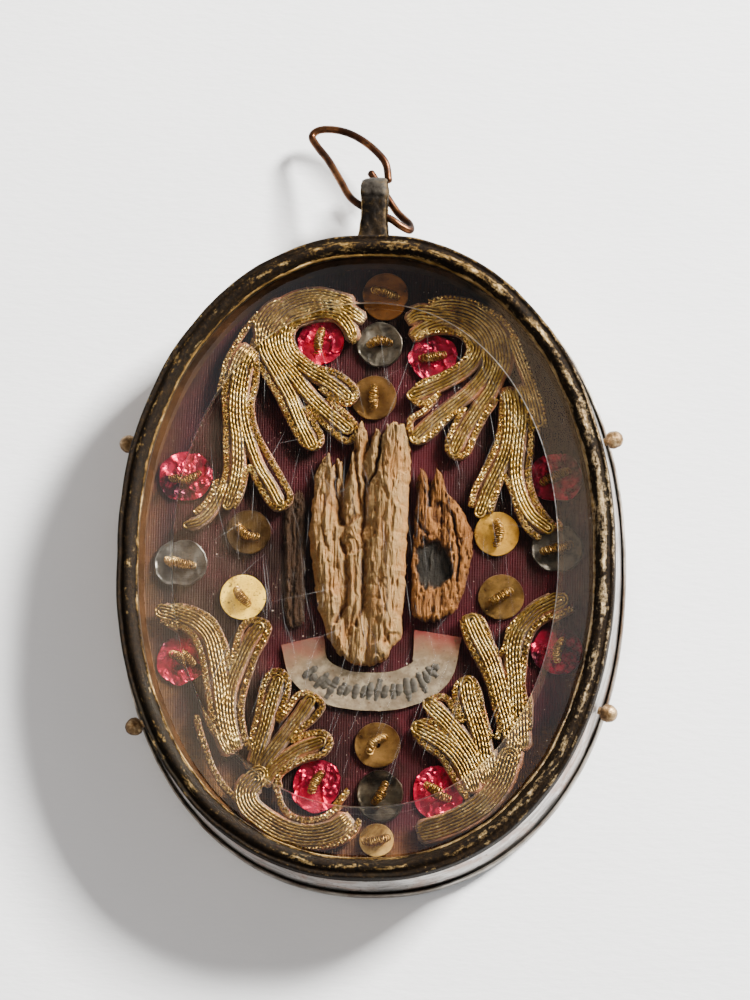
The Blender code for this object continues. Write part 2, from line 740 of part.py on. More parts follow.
def build_wire():
    head = outline(0.0).y
    points = [
        Vector((across * LUG_WIDTH, head + along * LUG_LENGTH, LUG_LEVEL - down * WIRE_DROP))
        for across, along, down in WIRE_RUN
    ]
    run = smooth_run(points, RUN_SAMPLES)
    length = run_length(run)
    places = at_distances(run, [length * i / WIRE_POINTS for i in range(WIRE_POINTS + 1)])
    data = bpy.data.curves.new("wire_loop", "CURVE")
    data.dimensions = "3D"
    data.bevel_depth = WIRE_RADIUS
    data.bevel_resolution = 2
    data.use_fill_caps = True
    spline = data.splines.new("POLY")
    spline.points.add(len(places) - 1)
    for point, (place, _) in zip(spline.points, places):
        point.co = (*place, 1.0)
    data.materials.append(material("copper wire", (0.35, 0.17, 0.09), 0.35, 1.0))
    made = bpy.data.objects.new("wire_loop", data)
    bpy.context.scene.collection.objects.link(made)


def turn_at(side, up):
    # the turn round the oval at which the outline is this far up, on the given side
    low, high = (0.0, math.pi)
    for _ in range(40):
        middle = (low + high) / 2
        if outline(side * middle).y > up:
            low = middle
        else:
            high = middle
    return side * low


def build_pins():
    shape = (
        (0.0, PIN_NECK),
        (PIN_REACH, PIN_NECK),
        (PIN_REACH + 0.25 * PIN_HEAD, 0.85 * PIN_HEAD),
        (PIN_REACH + 0.9 * PIN_HEAD, PIN_HEAD),
        (PIN_REACH + 1.5 * PIN_HEAD, 0.8 * PIN_HEAD),
        (PIN_REACH + 1.85 * PIN_HEAD, 0.35 * PIN_HEAD),
    )
    for order, (side, up) in enumerate(PIN_PLACES):
        turn = turn_at(side, up * HALF_LENGTH)
        clear = band_out(PIN_LEVEL) + GAP
        start = oval(turn, clear)
        away = (oval(turn, clear + PIN_HEAD) - start).normalized()
        axis = Vector((away.x, away.y, 0.0))
        across = Vector((-away.y, away.x, 0.0))
        bm = bmesh.new()
        loops = []
        for along, radius in shape:
            loop = []
            for index in range(PIN_SIDES):
                angle = 2 * math.pi * (index + 0.5) / PIN_SIDES
                spoke = across * math.cos(angle) + Vector((0.0, 0.0, math.sin(angle)))
                place = Vector((start.x, start.y, PIN_LEVEL)) + axis * along + spoke * radius
                loop.append(bm.verts.new(place))
            loops.append(loop)
        for lower, upper in zip(loops, loops[1:]):
            join_loops(bm, lower, upper)
        bm.faces.new(loops[0])
        bm.faces.new(loops[-1])
        finish(bm, f"pin_{order + 1}", material(f"pin {order + 1}", (0.5, 0.36, 0.22), 0.35, 1.0))


def main():
    for old in list(bpy.data.objects):
        bpy.data.objects.remove(old, do_unlink=True)
    build_case()
    build_glass()
    build_lining()
    build_wirework()
    build_bones()
    build_label()
    build_sequins()
    build_lug()
    build_wire()
    build_pins()


main()
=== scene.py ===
# Looks for an oval glazed reliquary capsule that lies on its back: silvered band, patinated
# bezel, bevelled glass, silk ground, gilt wirework, sequins, foils, bones and a paper label.
import math

import bpy
import numpy as np
from mathutils import Matrix, Vector


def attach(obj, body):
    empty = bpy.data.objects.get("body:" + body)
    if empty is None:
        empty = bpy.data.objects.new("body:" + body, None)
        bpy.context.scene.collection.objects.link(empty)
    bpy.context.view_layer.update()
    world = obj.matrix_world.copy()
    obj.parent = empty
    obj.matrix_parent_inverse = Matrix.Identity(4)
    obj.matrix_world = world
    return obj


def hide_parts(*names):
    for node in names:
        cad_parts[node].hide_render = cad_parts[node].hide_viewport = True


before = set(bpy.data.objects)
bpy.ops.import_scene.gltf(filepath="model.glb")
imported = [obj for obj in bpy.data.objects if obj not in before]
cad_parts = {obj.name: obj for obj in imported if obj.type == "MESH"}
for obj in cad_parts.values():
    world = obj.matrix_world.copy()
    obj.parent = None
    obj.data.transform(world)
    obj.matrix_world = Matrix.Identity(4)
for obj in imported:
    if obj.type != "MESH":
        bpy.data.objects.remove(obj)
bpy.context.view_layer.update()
mm = 0.001
fullTurn = 2 * math.pi


def softNoise(x, y, seed):
    # smooth random hills between -1 and 1, one hill to each unit of x and y
    table = np.random.default_rng(seed).uniform(-1.0, 1.0, (64, 64))
    x, y = np.broadcast_arrays(np.asarray(x, float), np.asarray(y, float))
    column, row = np.floor(x).astype(int), np.floor(y).astype(int)
    u, v = x - column, y - row
    u, v = u * u * (3 - 2 * u), v * v * (3 - 2 * v)
    here, right = table[row % 64, column % 64], table[row % 64, (column + 1) % 64]
    above = table[(row + 1) % 64, column % 64]
    corner = table[(row + 1) % 64, (column + 1) % 64]
    return (here * (1 - u) + right * u) * (1 - v) + (above * (1 - u) + corner * u) * v


def layeredNoise(x, y, seed, layers=3):
    return sum(softNoise(x * 2**k, y * 2**k, seed + k) / 2**k for k in range(layers))


def smoothRun(points, samples=14):
    points = np.array(points, float)
    ends = np.vstack((2 * points[0] - points[1], points, 2 * points[-1] - points[-2]))
    share = np.linspace(0.0, 1.0, samples, endpoint=False)[:, None]
    pieces = []
    for k in range(len(points) - 1):
        a, b, c, d = ends[k : k + 4]
        pieces.append(0.5 * (2 * b + (c - a) * share + (2 * a - 5 * b + 4 * c - d) * share**2
                             + (3 * b - a - 3 * c + d) * share**3))
    return np.vstack((*pieces, points[-1:]))


def evenRun(run, step):
    reach = np.r_[0.0, np.cumsum(np.linalg.norm(np.diff(run, axis=0), axis=1))]
    marks = np.linspace(0.0, reach[-1], max(3, int(reach[-1] / step) + 1))
    return np.stack([np.interp(marks, reach, run[:, k]) for k in range(run.shape[1])], 1), marks


def sideOf(run):
    # unit vector to the right of a flat run
    along = np.gradient(run[:, :2], axis=0)
    along /= np.linalg.norm(along, axis=1)[:, None]
    return np.stack((along[:, 1], -along[:, 0]), 1)


def gridQuads(rows, columns, closed):
    row, column = np.meshgrid(np.arange(rows - 1), np.arange(columns - (not closed)), indexing="ij")
    row, column = row.ravel(), column.ravel()
    after = (column + 1) % columns
    quads = np.stack((row * columns + column, row * columns + after,
                      (row + 1) * columns + after, (row + 1) * columns + column), 1)
    return quads, np.stack((row, column, row + 1, column + 1), 1)


class Body:
    # collects sheets and tubes of points in millimetres, and makes one mesh of them
    def __init__(self):
        self.points, self.faces, self.marks, self.looks, self.count = [], [], [], [], 0

    def sheet(self, grid, closed=False, along=None, around=None, look=0, caps=False):
        rows, columns = grid.shape[:2]
        quads, spots = gridQuads(rows, columns, closed)
        along = np.arange(rows) if along is None else along
        around = np.arange(columns + 1) / columns if around is None else around
        marks = np.stack([np.stack((along[spots[:, r]], around[spots[:, c]]), 1)
                          for r, c in ((0, 1), (0, 3), (2, 3), (2, 1))], 1)
        self.points.append(grid.reshape(-1, 3))
        self.faces += (quads + self.count).tolist()
        self.marks += marks.reshape(-1, 2).tolist()
        self.looks += [look] * len(quads)
        if caps:
            for first, turn in ((0, -1), ((rows - 1) * columns, 1)):
                self.faces.append([self.count + first + k for k in range(columns)][::turn])
                self.marks += [[along[0 if turn < 0 else -1], 0.5]] * columns
                self.looks.append(look)
        self.count += rows * columns
        return self.count - rows * columns

    def cap(self, numbers, look=0):
        self.faces.append(list(numbers))
        self.marks += [[0.0, 0.5]] * len(numbers)
        self.looks.append(look)

    def lids(self, first, columns, rows):
        # closes the first and the last row of a sheet
        self.cap(range(first + columns - 1, first - 1, -1))
        self.cap(range(first + columns * (rows - 1), first + columns * rows))

    def tube(self, run, marks, radius, sides=6, look=0, twist=0.0, pitch=1.0):
        # radius may change along the run; twist raises two spiral ridges on it
        along = np.gradient(run, axis=0)
        along /= np.linalg.norm(along, axis=1)[:, None]
        side = np.cross(along, (0.0, 0.0, 1.0))
        side /= np.linalg.norm(side, axis=1)[:, None]
        up = np.cross(side, along)
        angle = -np.arange(sides) * fullTurn / sides
        reach = np.broadcast_to(radius, marks.shape)[:, None]
        reach = reach * (1 + twist * np.cos(2 * angle[None] - fullTurn * marks[:, None] / pitch))
        ringOut = (side[:, None] * np.cos(angle)[None, :, None]
                   + up[:, None] * np.sin(angle)[None, :, None])
        self.sheet(run[:, None] + ringOut * reach[..., None], True, marks, look=look, caps=True)

    def finish(self, name, looks, smooth=True, sharp=None, flat=None):
        mesh = bpy.data.meshes.new(name)
        mesh.from_pydata((np.vstack(self.points) * mm).tolist(), [], self.faces)
        layer = mesh.uv_layers.new(name="run")
        layer.data.foreach_set("uv", np.array(self.marks, np.float32).ravel())
        for look in looks:
            mesh.materials.append(look)
        mesh.polygons.foreach_set("material_index", np.array(self.looks, np.int32))
        mesh.polygons.foreach_set("use_smooth", smooth & (np.array(self.looks) != flat))
        mesh.update()
        if sharp:
            mesh.set_sharp_from_angle(angle=math.radians(sharp))
        piece = bpy.data.objects.new(name, mesh)
        bpy.context.scene.collection.objects.link(piece)
        return piece


def paint(piece, name, values):
    # a number for each point, which the finish can read
    layer = piece.data.attributes.new(name, "FLOAT", "POINT")
    layer.data.foreach_set("value", np.asarray(values, np.float32).ravel())


def settle(piece, slotName, *nodes):
    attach(piece, "root")
    if nodes:
        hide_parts(*nodes)
    return piece


def newLook(name, roughness=0.5, metallic=0.0, **plain):
    look = bpy.data.materials.new(name)
    look.use_nodes = True
    shader = look.node_tree.nodes["Principled BSDF"]
    shader.inputs["Roughness"].default_value = roughness
    shader.inputs["Metallic"].default_value = metallic
    for key, value in plain.items():
        shader.inputs[key.replace("_", " ")].default_value = value
    return look


def addNode(look, kind, inputs, **settings):
    made = look.node_tree.nodes.new("ShaderNode" + kind)
    for key, value in settings.items():
        setattr(made, key, value)
    for key, value in inputs.items():
        if isinstance(value, bpy.types.NodeSocket):
            look.node_tree.links.new(value, made.inputs[key])
        else:
            made.inputs[key].default_value = value
    return made


def spot(look, stretch=(1, 1, 1), turn=0.0, alongRun=False):
    # where a point lies, in millimetres of the object or along a piece's own run
    source = addNode(look, "TexCoord", {}).outputs["UV" if alongRun else "Object"]
    scale = stretch if alongRun else [1000 * share for share in stretch]
    return addNode(look, "Mapping", {"Vector": source, "Scale": scale,
                                     "Rotation": (0.0, 0.0, turn)}).outputs["Vector"]


def grain(look, scale, detail=3.0, roughness=0.55, where=None, distortion=0.0):
    return addNode(look, "TexNoise", {"Vector": where or spot(look), "Scale": scale,
                                      "Detail": detail, "Roughness": roughness,
                                      "Distortion": distortion}).outputs["Fac"]


def pinholes(look, scale, size):
    # 1 in small scattered dots
    cells = addNode(look, "TexVoronoi", {"Vector": spot(look), "Scale": scale})
    return ramp(look, cells.outputs["Distance"], ((size * 0.6, 1.0), (size, 0.0)))


def ramp(look, source, stops):
    made = addNode(look, "ValToRGB", {"Fac": source})
    strip = made.color_ramp
    strip.elements[1].position = stops[-1][0]
    strip.elements[0].position = stops[0][0]
    for place, _ in stops[1:-1]:
        strip.elements.new(place)
    for element, (_, colour) in zip(strip.elements, stops):
        shade = (colour,) * 3 if isinstance(colour, float) else colour
        element.color = (*shade, 1.0)
    return made.outputs["Color"]


def mixColours(look, share, first, second):
    made = addNode(look, "Mix", {}, data_type="RGBA", blend_type="MIX")
    for place, value in ((0, share), (6, first), (7, second)):
        if isinstance(value, bpy.types.NodeSocket):
            look.node_tree.links.new(value, made.inputs[place])
        elif place:
            made.inputs[place].default_value = (*value, 1.0)
        else:
            made.inputs[place].default_value = value
    return made.outputs[2]


def patches(look, colour, source, low, high, most, shade):
    # lays a second shade over the colour where the source is high
    return mixColours(look, ramp(look, source, ((low, 0.0), (high, most))), colour, shade)


def sums(look, operation, first, second):
    return addNode(look, "Math", {0: first, 1: second}, operation=operation).outputs[0]


def plus(look, base, extra, share):
    # the base with a share of a second source added
    return sums(look, "ADD", base, sums(look, "MULTIPLY", extra, share))


def pointValue(look, name):
    return addNode(look, "Attribute", {}, attribute_name=name).outputs["Fac"]


def wear(look, colour=None, roughness=None, metallic=None, height=None, depth=0.02):
    # joins the worked-out colour, roughness, metal share and relief to the shader
    shader = look.node_tree.nodes["Principled BSDF"]
    wanted = (("Base Color", colour), ("Roughness", roughness), ("Metallic", metallic))
    for key, source in wanted:
        if source is not None:
            look.node_tree.links.new(source, shader.inputs[key])
    if height is not None:
        bumps = addNode(look, "Bump", {"Height": height, "Strength": 1.0, "Distance": depth * mm})
        look.node_tree.links.new(bumps.outputs["Normal"], shader.inputs["Normal"])
    return look


photoView = {
    "right": 4.8, "below": 11.2, "roll": 1.0,  # degrees from straight above
    "distance": 600.0, "aim": (1.02, 6.37, 11.0),  # millimetres
    "sharpness": 5217.4, "pictureHeight": 1000,  # focal length and height of the picture in pixels
    "sensor": 36.0,  # millimetres
}
lamps = {
    # name: towards the lamp, distance and size in metres, watts, colour
    "keyLamp": ((0.67, 0.53, 0.52), 0.9, (0.19, 0.19), 54.5, (1.0, 0.985, 0.955)),
}
room = {
    # a room that is dark overhead and has one soft window; edges and middles are cosines
    "shade": (0.63, 0.65, 0.685),
    "window": (2.15, 1.75, 1.35), "towardsWindow": (-0.60, -0.02, 0.80),
    "windowEdge": 0.925, "windowMiddle": 0.985,
    "ceiling": (0.045, 0.045, 0.047), "towardsCeiling": (0.07, 0.30, 0.94),
    "ceilingEdge": 0.84, "ceilingMiddle": 0.93,
    # a warm card beside the camera, seen as a faint veil on the left of the glass
    "card": (1.95, 1.43, 1.0), "towardsCard": (-0.27, 0.15, 0.951),
    "cardEdge": 0.9864, "cardMiddle": 0.9892,
}


def makeCamera():
    across, below, roll = (math.radians(photoView[k]) for k in ("right", "below", "roll"))
    back = Vector((math.sin(across), -math.sin(below), 0.0))
    back.z = math.sqrt(1 - back.length_squared)
    right = Vector((0, 1, 0)).cross(back).normalized()
    up = back.cross(right)
    turned = math.cos(roll) * right + math.sin(roll) * up
    lifted = math.cos(roll) * up - math.sin(roll) * right
    data = bpy.data.cameras.new("photoCamera")
    data.sensor_width = photoView["sensor"]
    data.lens = photoView["sharpness"] * data.sensor_width / photoView["pictureHeight"]
    camera = bpy.data.objects.new("photoCamera", data)
    place = (Vector(photoView["aim"]) + back * photoView["distance"]) * mm
    camera.matrix_world = Matrix.Translation(place) @ Matrix((turned, lifted, back)).transposed().to_4x4()
    data.clip_start, data.clip_end = 0.01, 10.0
    bpy.context.scene.collection.objects.link(camera)
    bpy.context.scene.camera = camera


def makeLamps():
    for name, (towards, distance, size, watts, colour) in lamps.items():
        data = bpy.data.lights.new(name, "AREA")
        data.shape = "RECTANGLE"
        data.size, data.size_y = size
        data.energy = watts
        data.color = colour
        lamp = bpy.data.objects.new(name, data)
        towards = Vector(towards).normalized()
        lamp.location = towards * distance
        lamp.rotation_mode = "QUATERNION"
        lamp.rotation_quaternion = towards.to_track_quat("Z", "Y")
        bpy.context.scene.collection.objects.link(lamp)
    world = bpy.data.worlds.new("softRoom")
    world.use_nodes = True
    towards = addNode(world, "TexCoord", {}).outputs["Generated"]

    def nearTo(place):
        aim = Vector(room["towards" + place]).normalized()
        near = addNode(world, "VectorMath", {0: towards, 1: aim}, operation="DOT_PRODUCT").outputs["Value"]
        key = place[0].lower() + place[1:]
        # a colour ramp is too coarse for the narrow edge of the card
        return addNode(world, "MapRange", {"Value": near, "From Min": room[key + "Edge"],
                                           "From Max": room[key + "Middle"]}, clamp=True).outputs["Result"]

    glow = mixColours(world, nearTo("Ceiling"), room["shade"], room["ceiling"])
    glow = mixColours(world, nearTo("Window"), glow, room["window"])
    glow = mixColours(world, nearTo("Card"), glow, room["card"])
    world.node_tree.links.new(glow, world.node_tree.nodes["Background"].inputs["Color"])
    bpy.context.scene.world = world


whiteBoard = {"reach": 1.5, "gap": 0.0002}  # metres


def makeFloor():
    look = newLook("whiteBoard", 0.85)
    soft = grain(look, 0.035, 4.0)
    wear(look, ramp(look, soft, ((0.3, (0.80, 0.805, 0.81)), (0.7, (0.84, 0.84, 0.84)))),
         height=grain(look, 1.6, 4.0, where=spot(look, (0.35, 1, 1))), depth=0.05)
    mesh = bpy.data.meshes.new("whiteBoard")
    reach = whiteBoard["reach"]
    mesh.from_pydata([(-reach, -reach, 0), (reach, -reach, 0), (reach, reach, 0), (-reach, reach, 0)],
                     [], [(0, 1, 2, 3)])
    mesh.materials.append(look)
    floor = bpy.data.objects.new("whiteBoard", mesh)
    floor.location.z = -whiteBoard["gap"]
    bpy.context.scene.collection.objects.link(floor)


oval = {
    "halfWidth": 28.8, "halfLength": 37.7, "fullness": 2.14,
    "handWave": ((3, 0.0047, 0.0022), (2, 0.0, -0.0033), (5, 0.0012, 0.0)),
    "sides": 240,
}


def outline(turn):
    wave = 1.0
    for count, cosine, sine in oval["handWave"]:
        wave = wave + cosine * np.cos(count * turn) + sine * np.sin(count * turn)
    power = 2 / oval["fullness"]
    across = np.sign(np.sin(turn)) * np.abs(np.sin(turn)) ** power
    up = np.sign(np.cos(turn)) * np.abs(np.cos(turn)) ** power
    return np.stack((oval["halfWidth"] * across * wave, oval["halfLength"] * up * wave), -1)


def ovalAt(turn, out):
    step = 0.02
    run = outline(turn + step) - outline(turn - step)
    run = run / np.linalg.norm(run, axis=-1)[..., None]
    return outline(turn) + np.asarray(out)[..., None] * np.stack((-run[..., 1], run[..., 0]), -1)


def ovalTurns(sides=None):
    sides = sides or oval["sides"]
    return fullTurn * (1 - (np.arange(sides) + 0.5) / sides)


def ovalMarks(turns):
    # distance round the outline, for the finishes
    ring = outline(np.r_[turns, turns[:1]])
    return np.r_[0.0, np.cumsum(np.linalg.norm(np.diff(ring, axis=0), axis=1))]


def ovalSheet(profile, turns, wobble=None):
    # rows follow the profile of (out, height), columns go round the oval
    rows = []
    for k, (out, height) in enumerate(profile):
        shift = np.zeros_like(turns) if wobble is None else wobble[0][k] * wobble[1]
        lift = np.zeros_like(turns) if wobble is None else wobble[0][k] * wobble[2]
        flat = ovalAt(turns, out + shift)
        rows.append(np.column_stack((flat, np.full(len(turns), height) + lift)))
    return np.array(rows)


def profileMarks(profile):
    steps = np.linalg.norm(np.diff(np.array(profile), axis=0), axis=1)
    return np.r_[0.0, np.cumsum(steps)]


def slantedStrip(foot, top, steps, thick):
    # the profile of a slanted strip, up its face and down its back, and how far each row may dent
    (footOut, footHeight), (topOut, topHeight) = foot, top
    face = [(footOut + (topOut - footOut) * k / steps, footHeight + (topHeight - footHeight) * k / steps)
            for k in range(steps + 1)]
    strength = [math.sin(math.pi * k / steps) for k in range(steps + 1)]
    return face + [(out - thick, height) for out, height in reversed(face)], strength


def ringPiece(name, look, grid, rows, turns, sharp):
    # makes the rows of a closed profile that runs round the oval into one piece
    shape = Body()
    shape.sheet(np.concatenate((grid, grid[:1])), True, profileMarks(rows + rows[:1]), ovalMarks(turns))
    return shape.finish(name, [look], sharp=sharp)


def rounded(profile, cut, turns=2):
    # takes the corners off an open profile by cutting each one at small equal reaches
    points = [np.array(p, float) for p in profile]
    for _ in range(turns):
        made = points[:1]
        for before, here, after in zip(points, points[1:], points[2:]):
            for other in (before, after):
                span = np.linalg.norm(other - here)
                made.append(here + (other - here) * min(0.3, cut / span))
        points = made + points[-1:]
        cut *= 0.5
    return [tuple(p) for p in points]


metalwork = {
    # profiles are (out from the case line, height)
    "tray": ((0.7, 0.0), (0.9, 0.25), (0.9, 1.93), (0.76, 2.05), (0.6, 1.93), (0.6, 0.6)),
    "trayInside": ((0.2, 0.6), (-8.0, 0.6)),
    # a shallow raised border, so that the back is not a bare plate
    "trayBorder": ((-2.6, 0.02), (-1.9, 0.14), (-1.4, 0.12), (-0.6, 0.0)),
    "bandFoot": (0.45, 0.75), "bandTop": (-0.5, 9.7), "bandThick": 0.7,
    "bezel": ((0.0, 8.7), (0.0, 10.72), (-0.04, 10.98), (-0.13, 11.14), (-0.24, 11.19), (-0.36, 11.15),
              (-0.46, 11.08), (-0.58, 11.06), (-0.7, 11.1), (-0.82, 11.21), (-0.95, 11.34),
              (-1.12, 11.47), (-1.35, 11.47), (-1.62, 11.38), (-1.86, 11.16), (-2.06, 10.86),
              (-2.2, 10.66), (-2.29, 10.63), (-2.37, 10.68), (-2.45, 10.63), (-2.5, 10.5),
              (-2.5, 9.85), (-0.35, 9.85), (-0.35, 8.7)),
    # how far each of those points wears down to the gilding
    "bezelWear": (0.0, 0.05, 0.2, 0.4, 0.35, 0.1, 0.0, 0.0, 0.05, 0.25, 0.42, 0.45, 0.38, 0.25, 0.12,
                  0.05, 0.4, 1.05, 1.3, 1.05, 0.2, 0.0, 0.0, 0.0),
    "bezelSides": 320, "dents": 0.09, "nickedRows": (8, 20),
    # the first direction is where painted light makes the gilt show most, the second is where the silver
    # flecks and their painted sheen are strongest
    "mostLit": math.radians(58), "mostSilverAndSheen": math.radians(96), "silver": 0.3,
}


def makeTray():
    look = newLook("agedTin", 0.5, 0.85)
    dull = grain(look, 0.35, 6.0)
    stain = grain(look, 0.09, 4.0, distortion=0.6)
    colour = ramp(look, dull, ((0.3, (0.10, 0.085, 0.07)), (0.5, (0.26, 0.235, 0.2)),
                               (0.72, (0.42, 0.39, 0.35))))
    colour = patches(look, colour, stain, 0.5, 0.64, 1.0, (0.09, 0.06, 0.04))
    scratch = grain(look, 0.5, 2.0, where=spot(look, (0.12, 3, 1), 0.5))
    wear(look, colour, ramp(look, dull, ((0.3, 0.62), (0.7, 0.34))),
         height=plus(look, dull, scratch, 0.5), depth=0.05)
    turns = ovalTurns()
    shape = Body()
    rows = [*metalwork["trayBorder"], *rounded(metalwork["tray"], 0.1), *metalwork["trayInside"]]
    ripple = 0.03 * layeredNoise(6 * np.cos(turns), 6 * np.sin(turns), 5) - 0.04
    dents = (np.full(len(rows), 1.0), ripple, 0 * turns)
    first = shape.sheet(ovalSheet(rows, turns, dents), True, profileMarks(rows), ovalMarks(turns))
    shape.lids(first, len(turns), len(rows))
    tray = shape.finish("backTray", [look], sharp=40)
    settle(tray, "silvered_metal", "back_plate")


def makeBand():
    look = newLook("silveredBand", 0.4, 0.92)
    cloud = grain(look, 0.5, 8.0, 0.66, where=spot(look, (1.6, 0.4, 1), alongRun=True), distortion=0.5)
    blush = grain(look, 0.2, 7.0, 0.66, distortion=0.9)
    fine = grain(look, 2.4, 3.0)
    drawn = grain(look, 0.8, 3.0, where=spot(look, (5, 0.25, 1), alongRun=True))
    colour = ramp(look, cloud, ((0.32, (0.17, 0.155, 0.14)), (0.5, (0.46, 0.44, 0.42)),
                                (0.66, (0.72, 0.71, 0.69))))
    colour = patches(look, colour, blush, 0.46, 0.62, 0.8, (0.33, 0.215, 0.165))
    specks = ramp(look, fine, ((0.31, 1.0), (0.38, 0.0)))
    colour = mixColours(look, specks, colour, (0.10, 0.07, 0.05))
    # painted shade: the foot of the band is darkened where shade falls at its base
    colour = mixColours(look, pointValue(look, "foot"), colour, (0.02, 0.016, 0.013))
    wear(look, colour, ramp(look, blush, ((0.4, 0.36), (0.66, 0.56))),
         height=plus(look, cloud, drawn, 0.35), depth=0.1)
    turns = ovalTurns()
    rows, strength = slantedStrip(metalwork["bandFoot"], metalwork["bandTop"], 9, metalwork["bandThick"])
    dents = 0.05 * layeredNoise(7 * np.cos(turns), 7 * np.sin(turns), 11) - 0.03
    grid = ovalSheet(rows, turns, (strength + strength[::-1], dents, 0 * turns))
    band = ringPiece("silverBand", look, grid, rows, turns, 35)
    # painted shade: the two rows at the band's foot carry the dark of the shade where it meets the tray
    dark = np.zeros(len(grid) + 1)
    dark[:2] = (1.0, 0.35)
    paint(band, "foot", np.repeat(dark, len(turns)))
    settle(band, "silvered_metal", "case_band")


def makeBezel():
    look = newLook("wornGilding", 0.42, 0.95, Specular_IOR_Level=0.06)
    ring = spot(look, (1.3, 0.3, 1), alongRun=True)
    streak = grain(look, 0.9, 7.0, 0.62, where=ring, distortion=0.3)
    flake = grain(look, 2.3, 9.0, 0.75)
    broad = grain(look, 0.13, 4.0)
    # the gilt share is real wear along the rows plus painted light that rises towards the lit upper right,
    # where the gilt shows brighter
    worn = pointValue(look, "wornAndLit")
    for source, middle, strength in ((streak, 0.52, 2.1), (flake, 0.5, 1.7), (broad, 0.5, 0.9)):
        worn = plus(look, worn, sums(look, "SUBTRACT", source, middle), strength)
    share = ramp(look, worn, ((0.40, 0.0), (0.94, 1.0)))
    ground = ramp(look, flake, ((0.34, (0.0009, 0.0005, 0.0002)), (0.5, (0.0052, 0.0027, 0.0009)),
                                (0.64, (0.018, 0.010, 0.0036))))
    ground = patches(look, ground, broad, 0.5, 0.66, 0.5, (0.008, 0.006, 0.003))
    gilt = ramp(look, streak, ((0.36, (0.085, 0.042, 0.010)), (0.54, (0.25, 0.145, 0.042)),
                               (0.72, (0.62, 0.44, 0.20))))
    grey = ramp(look, flake, ((0.4, (0.13, 0.10, 0.065)), (0.6, (0.62, 0.55, 0.43))))
    # silver-grey flecks on the right side: partly silver showing through the gilding, partly a painted
    # sheen where the light falls
    gilt = mixColours(look, pointValue(look, "silverAndSheen"), gilt, grey)
    rough = plus(look, sums(look, "MULTIPLY", share, -0.25), flake, 0.5)
    rough = ramp(look, rough, ((0.0, 0.42), (0.3, 0.68)))
    wear(look, mixColours(look, share, ground, gilt), rough, ramp(look, share, ((0.0, 0.1), (0.6, 1.0))),
         height=plus(look, flake, share, 0.25), depth=0.11)
    turns = ovalTurns(metalwork["bezelSides"])
    rows = list(metalwork["bezel"])
    across, up = 9 * np.cos(turns), 9 * np.sin(turns)
    strength = np.array([0.2] + [1.0] * (len(rows) - 4) + [0.2, 0.0, 0.0])
    lift = -np.abs(layeredNoise(across, up, 3)) * 0.07
    dents = (strength, metalwork["dents"] * layeredNoise(across * 0.7, up * 0.7, 23, 4) - 0.04, lift)
    grid = ovalSheet(rows, turns, dents)
    # small nicks along the crown and the lip
    nick = layeredNoise(across * 5, up * 5, 31)
    for k in range(*metalwork["nickedRows"]):
        grid[k, :, 2] -= 0.035 * np.clip(nick + 0.4 * layeredNoise(across * 9, up * 9, 40 + k), 0, 1)
    bezel = ringPiece("gildedBezel", look, grid, rows, turns, 50)
    # painted light: the side towards the lamp gets a larger gilt share than its wear alone would give
    side = 0.5 + 0.5 * np.cos(turns - metalwork["mostLit"])
    wornAt = np.array(metalwork["bezelWear"] + metalwork["bezelWear"][:1])
    paint(bezel, "wornAndLit", wornAt[:, None] * (0.56 + 0.44 * side[None]) + 0.17 * side[None])
    # silver flecks with painted sheen, strongest on the right
    silver = np.clip(np.cos(turns - metalwork["mostSilverAndSheen"]), 0, 1) ** 2 * metalwork["silver"]
    paint(bezel, "silverAndSheen", np.tile(silver, len(rows) + 1))
    settle(bezel, "worn_gilt", "bezel")


# the bevelled glass, its hairline scratches, the paper lining and the silk pad
glazing = {
    "under": 8.795, "edge": 9.295, "table": 11.145, "out": -1.35,
    "bevelAtSides": 6.6, "bevelAtEnds": 8.3, "tint": (0.84, 0.78, 0.67),
    # shares of the bevel's width, the last two round its ground corner
    "bevelRows": (0.02, 0.5, 0.984, 0.993),
    "hairlines": 230, "hairWidth": 0.014, "hairField": (22.0, 29.2),
    "longScratches": (((12.6, 22.8), (16.0, 17.6), (19.8, 9.0)), ((5.6, 26.0), (3.4, 19.0), (1.0, 13.0))),
}
filling = {
    "silkTop": 5.27, "silkFoot": 0.75, "silkOut": -1.35, "silkRound": 0.6, "sag": 0.16, "pucker": 0.07,
    "silkSides": 160, "silkRows": 46,
    "liningFoot": (-3.1, 5.45), "liningTop": (-1.35, 8.64), "liningThick": 0.45,
}


def tableAt(turns):
    # the line where the bevel meets the flat table of the glass
    return outline(turns) * np.array((1 - glazing["bevelAtSides"] / oval["halfWidth"],
                                      1 - glazing["bevelAtEnds"] / oval["halfLength"]))


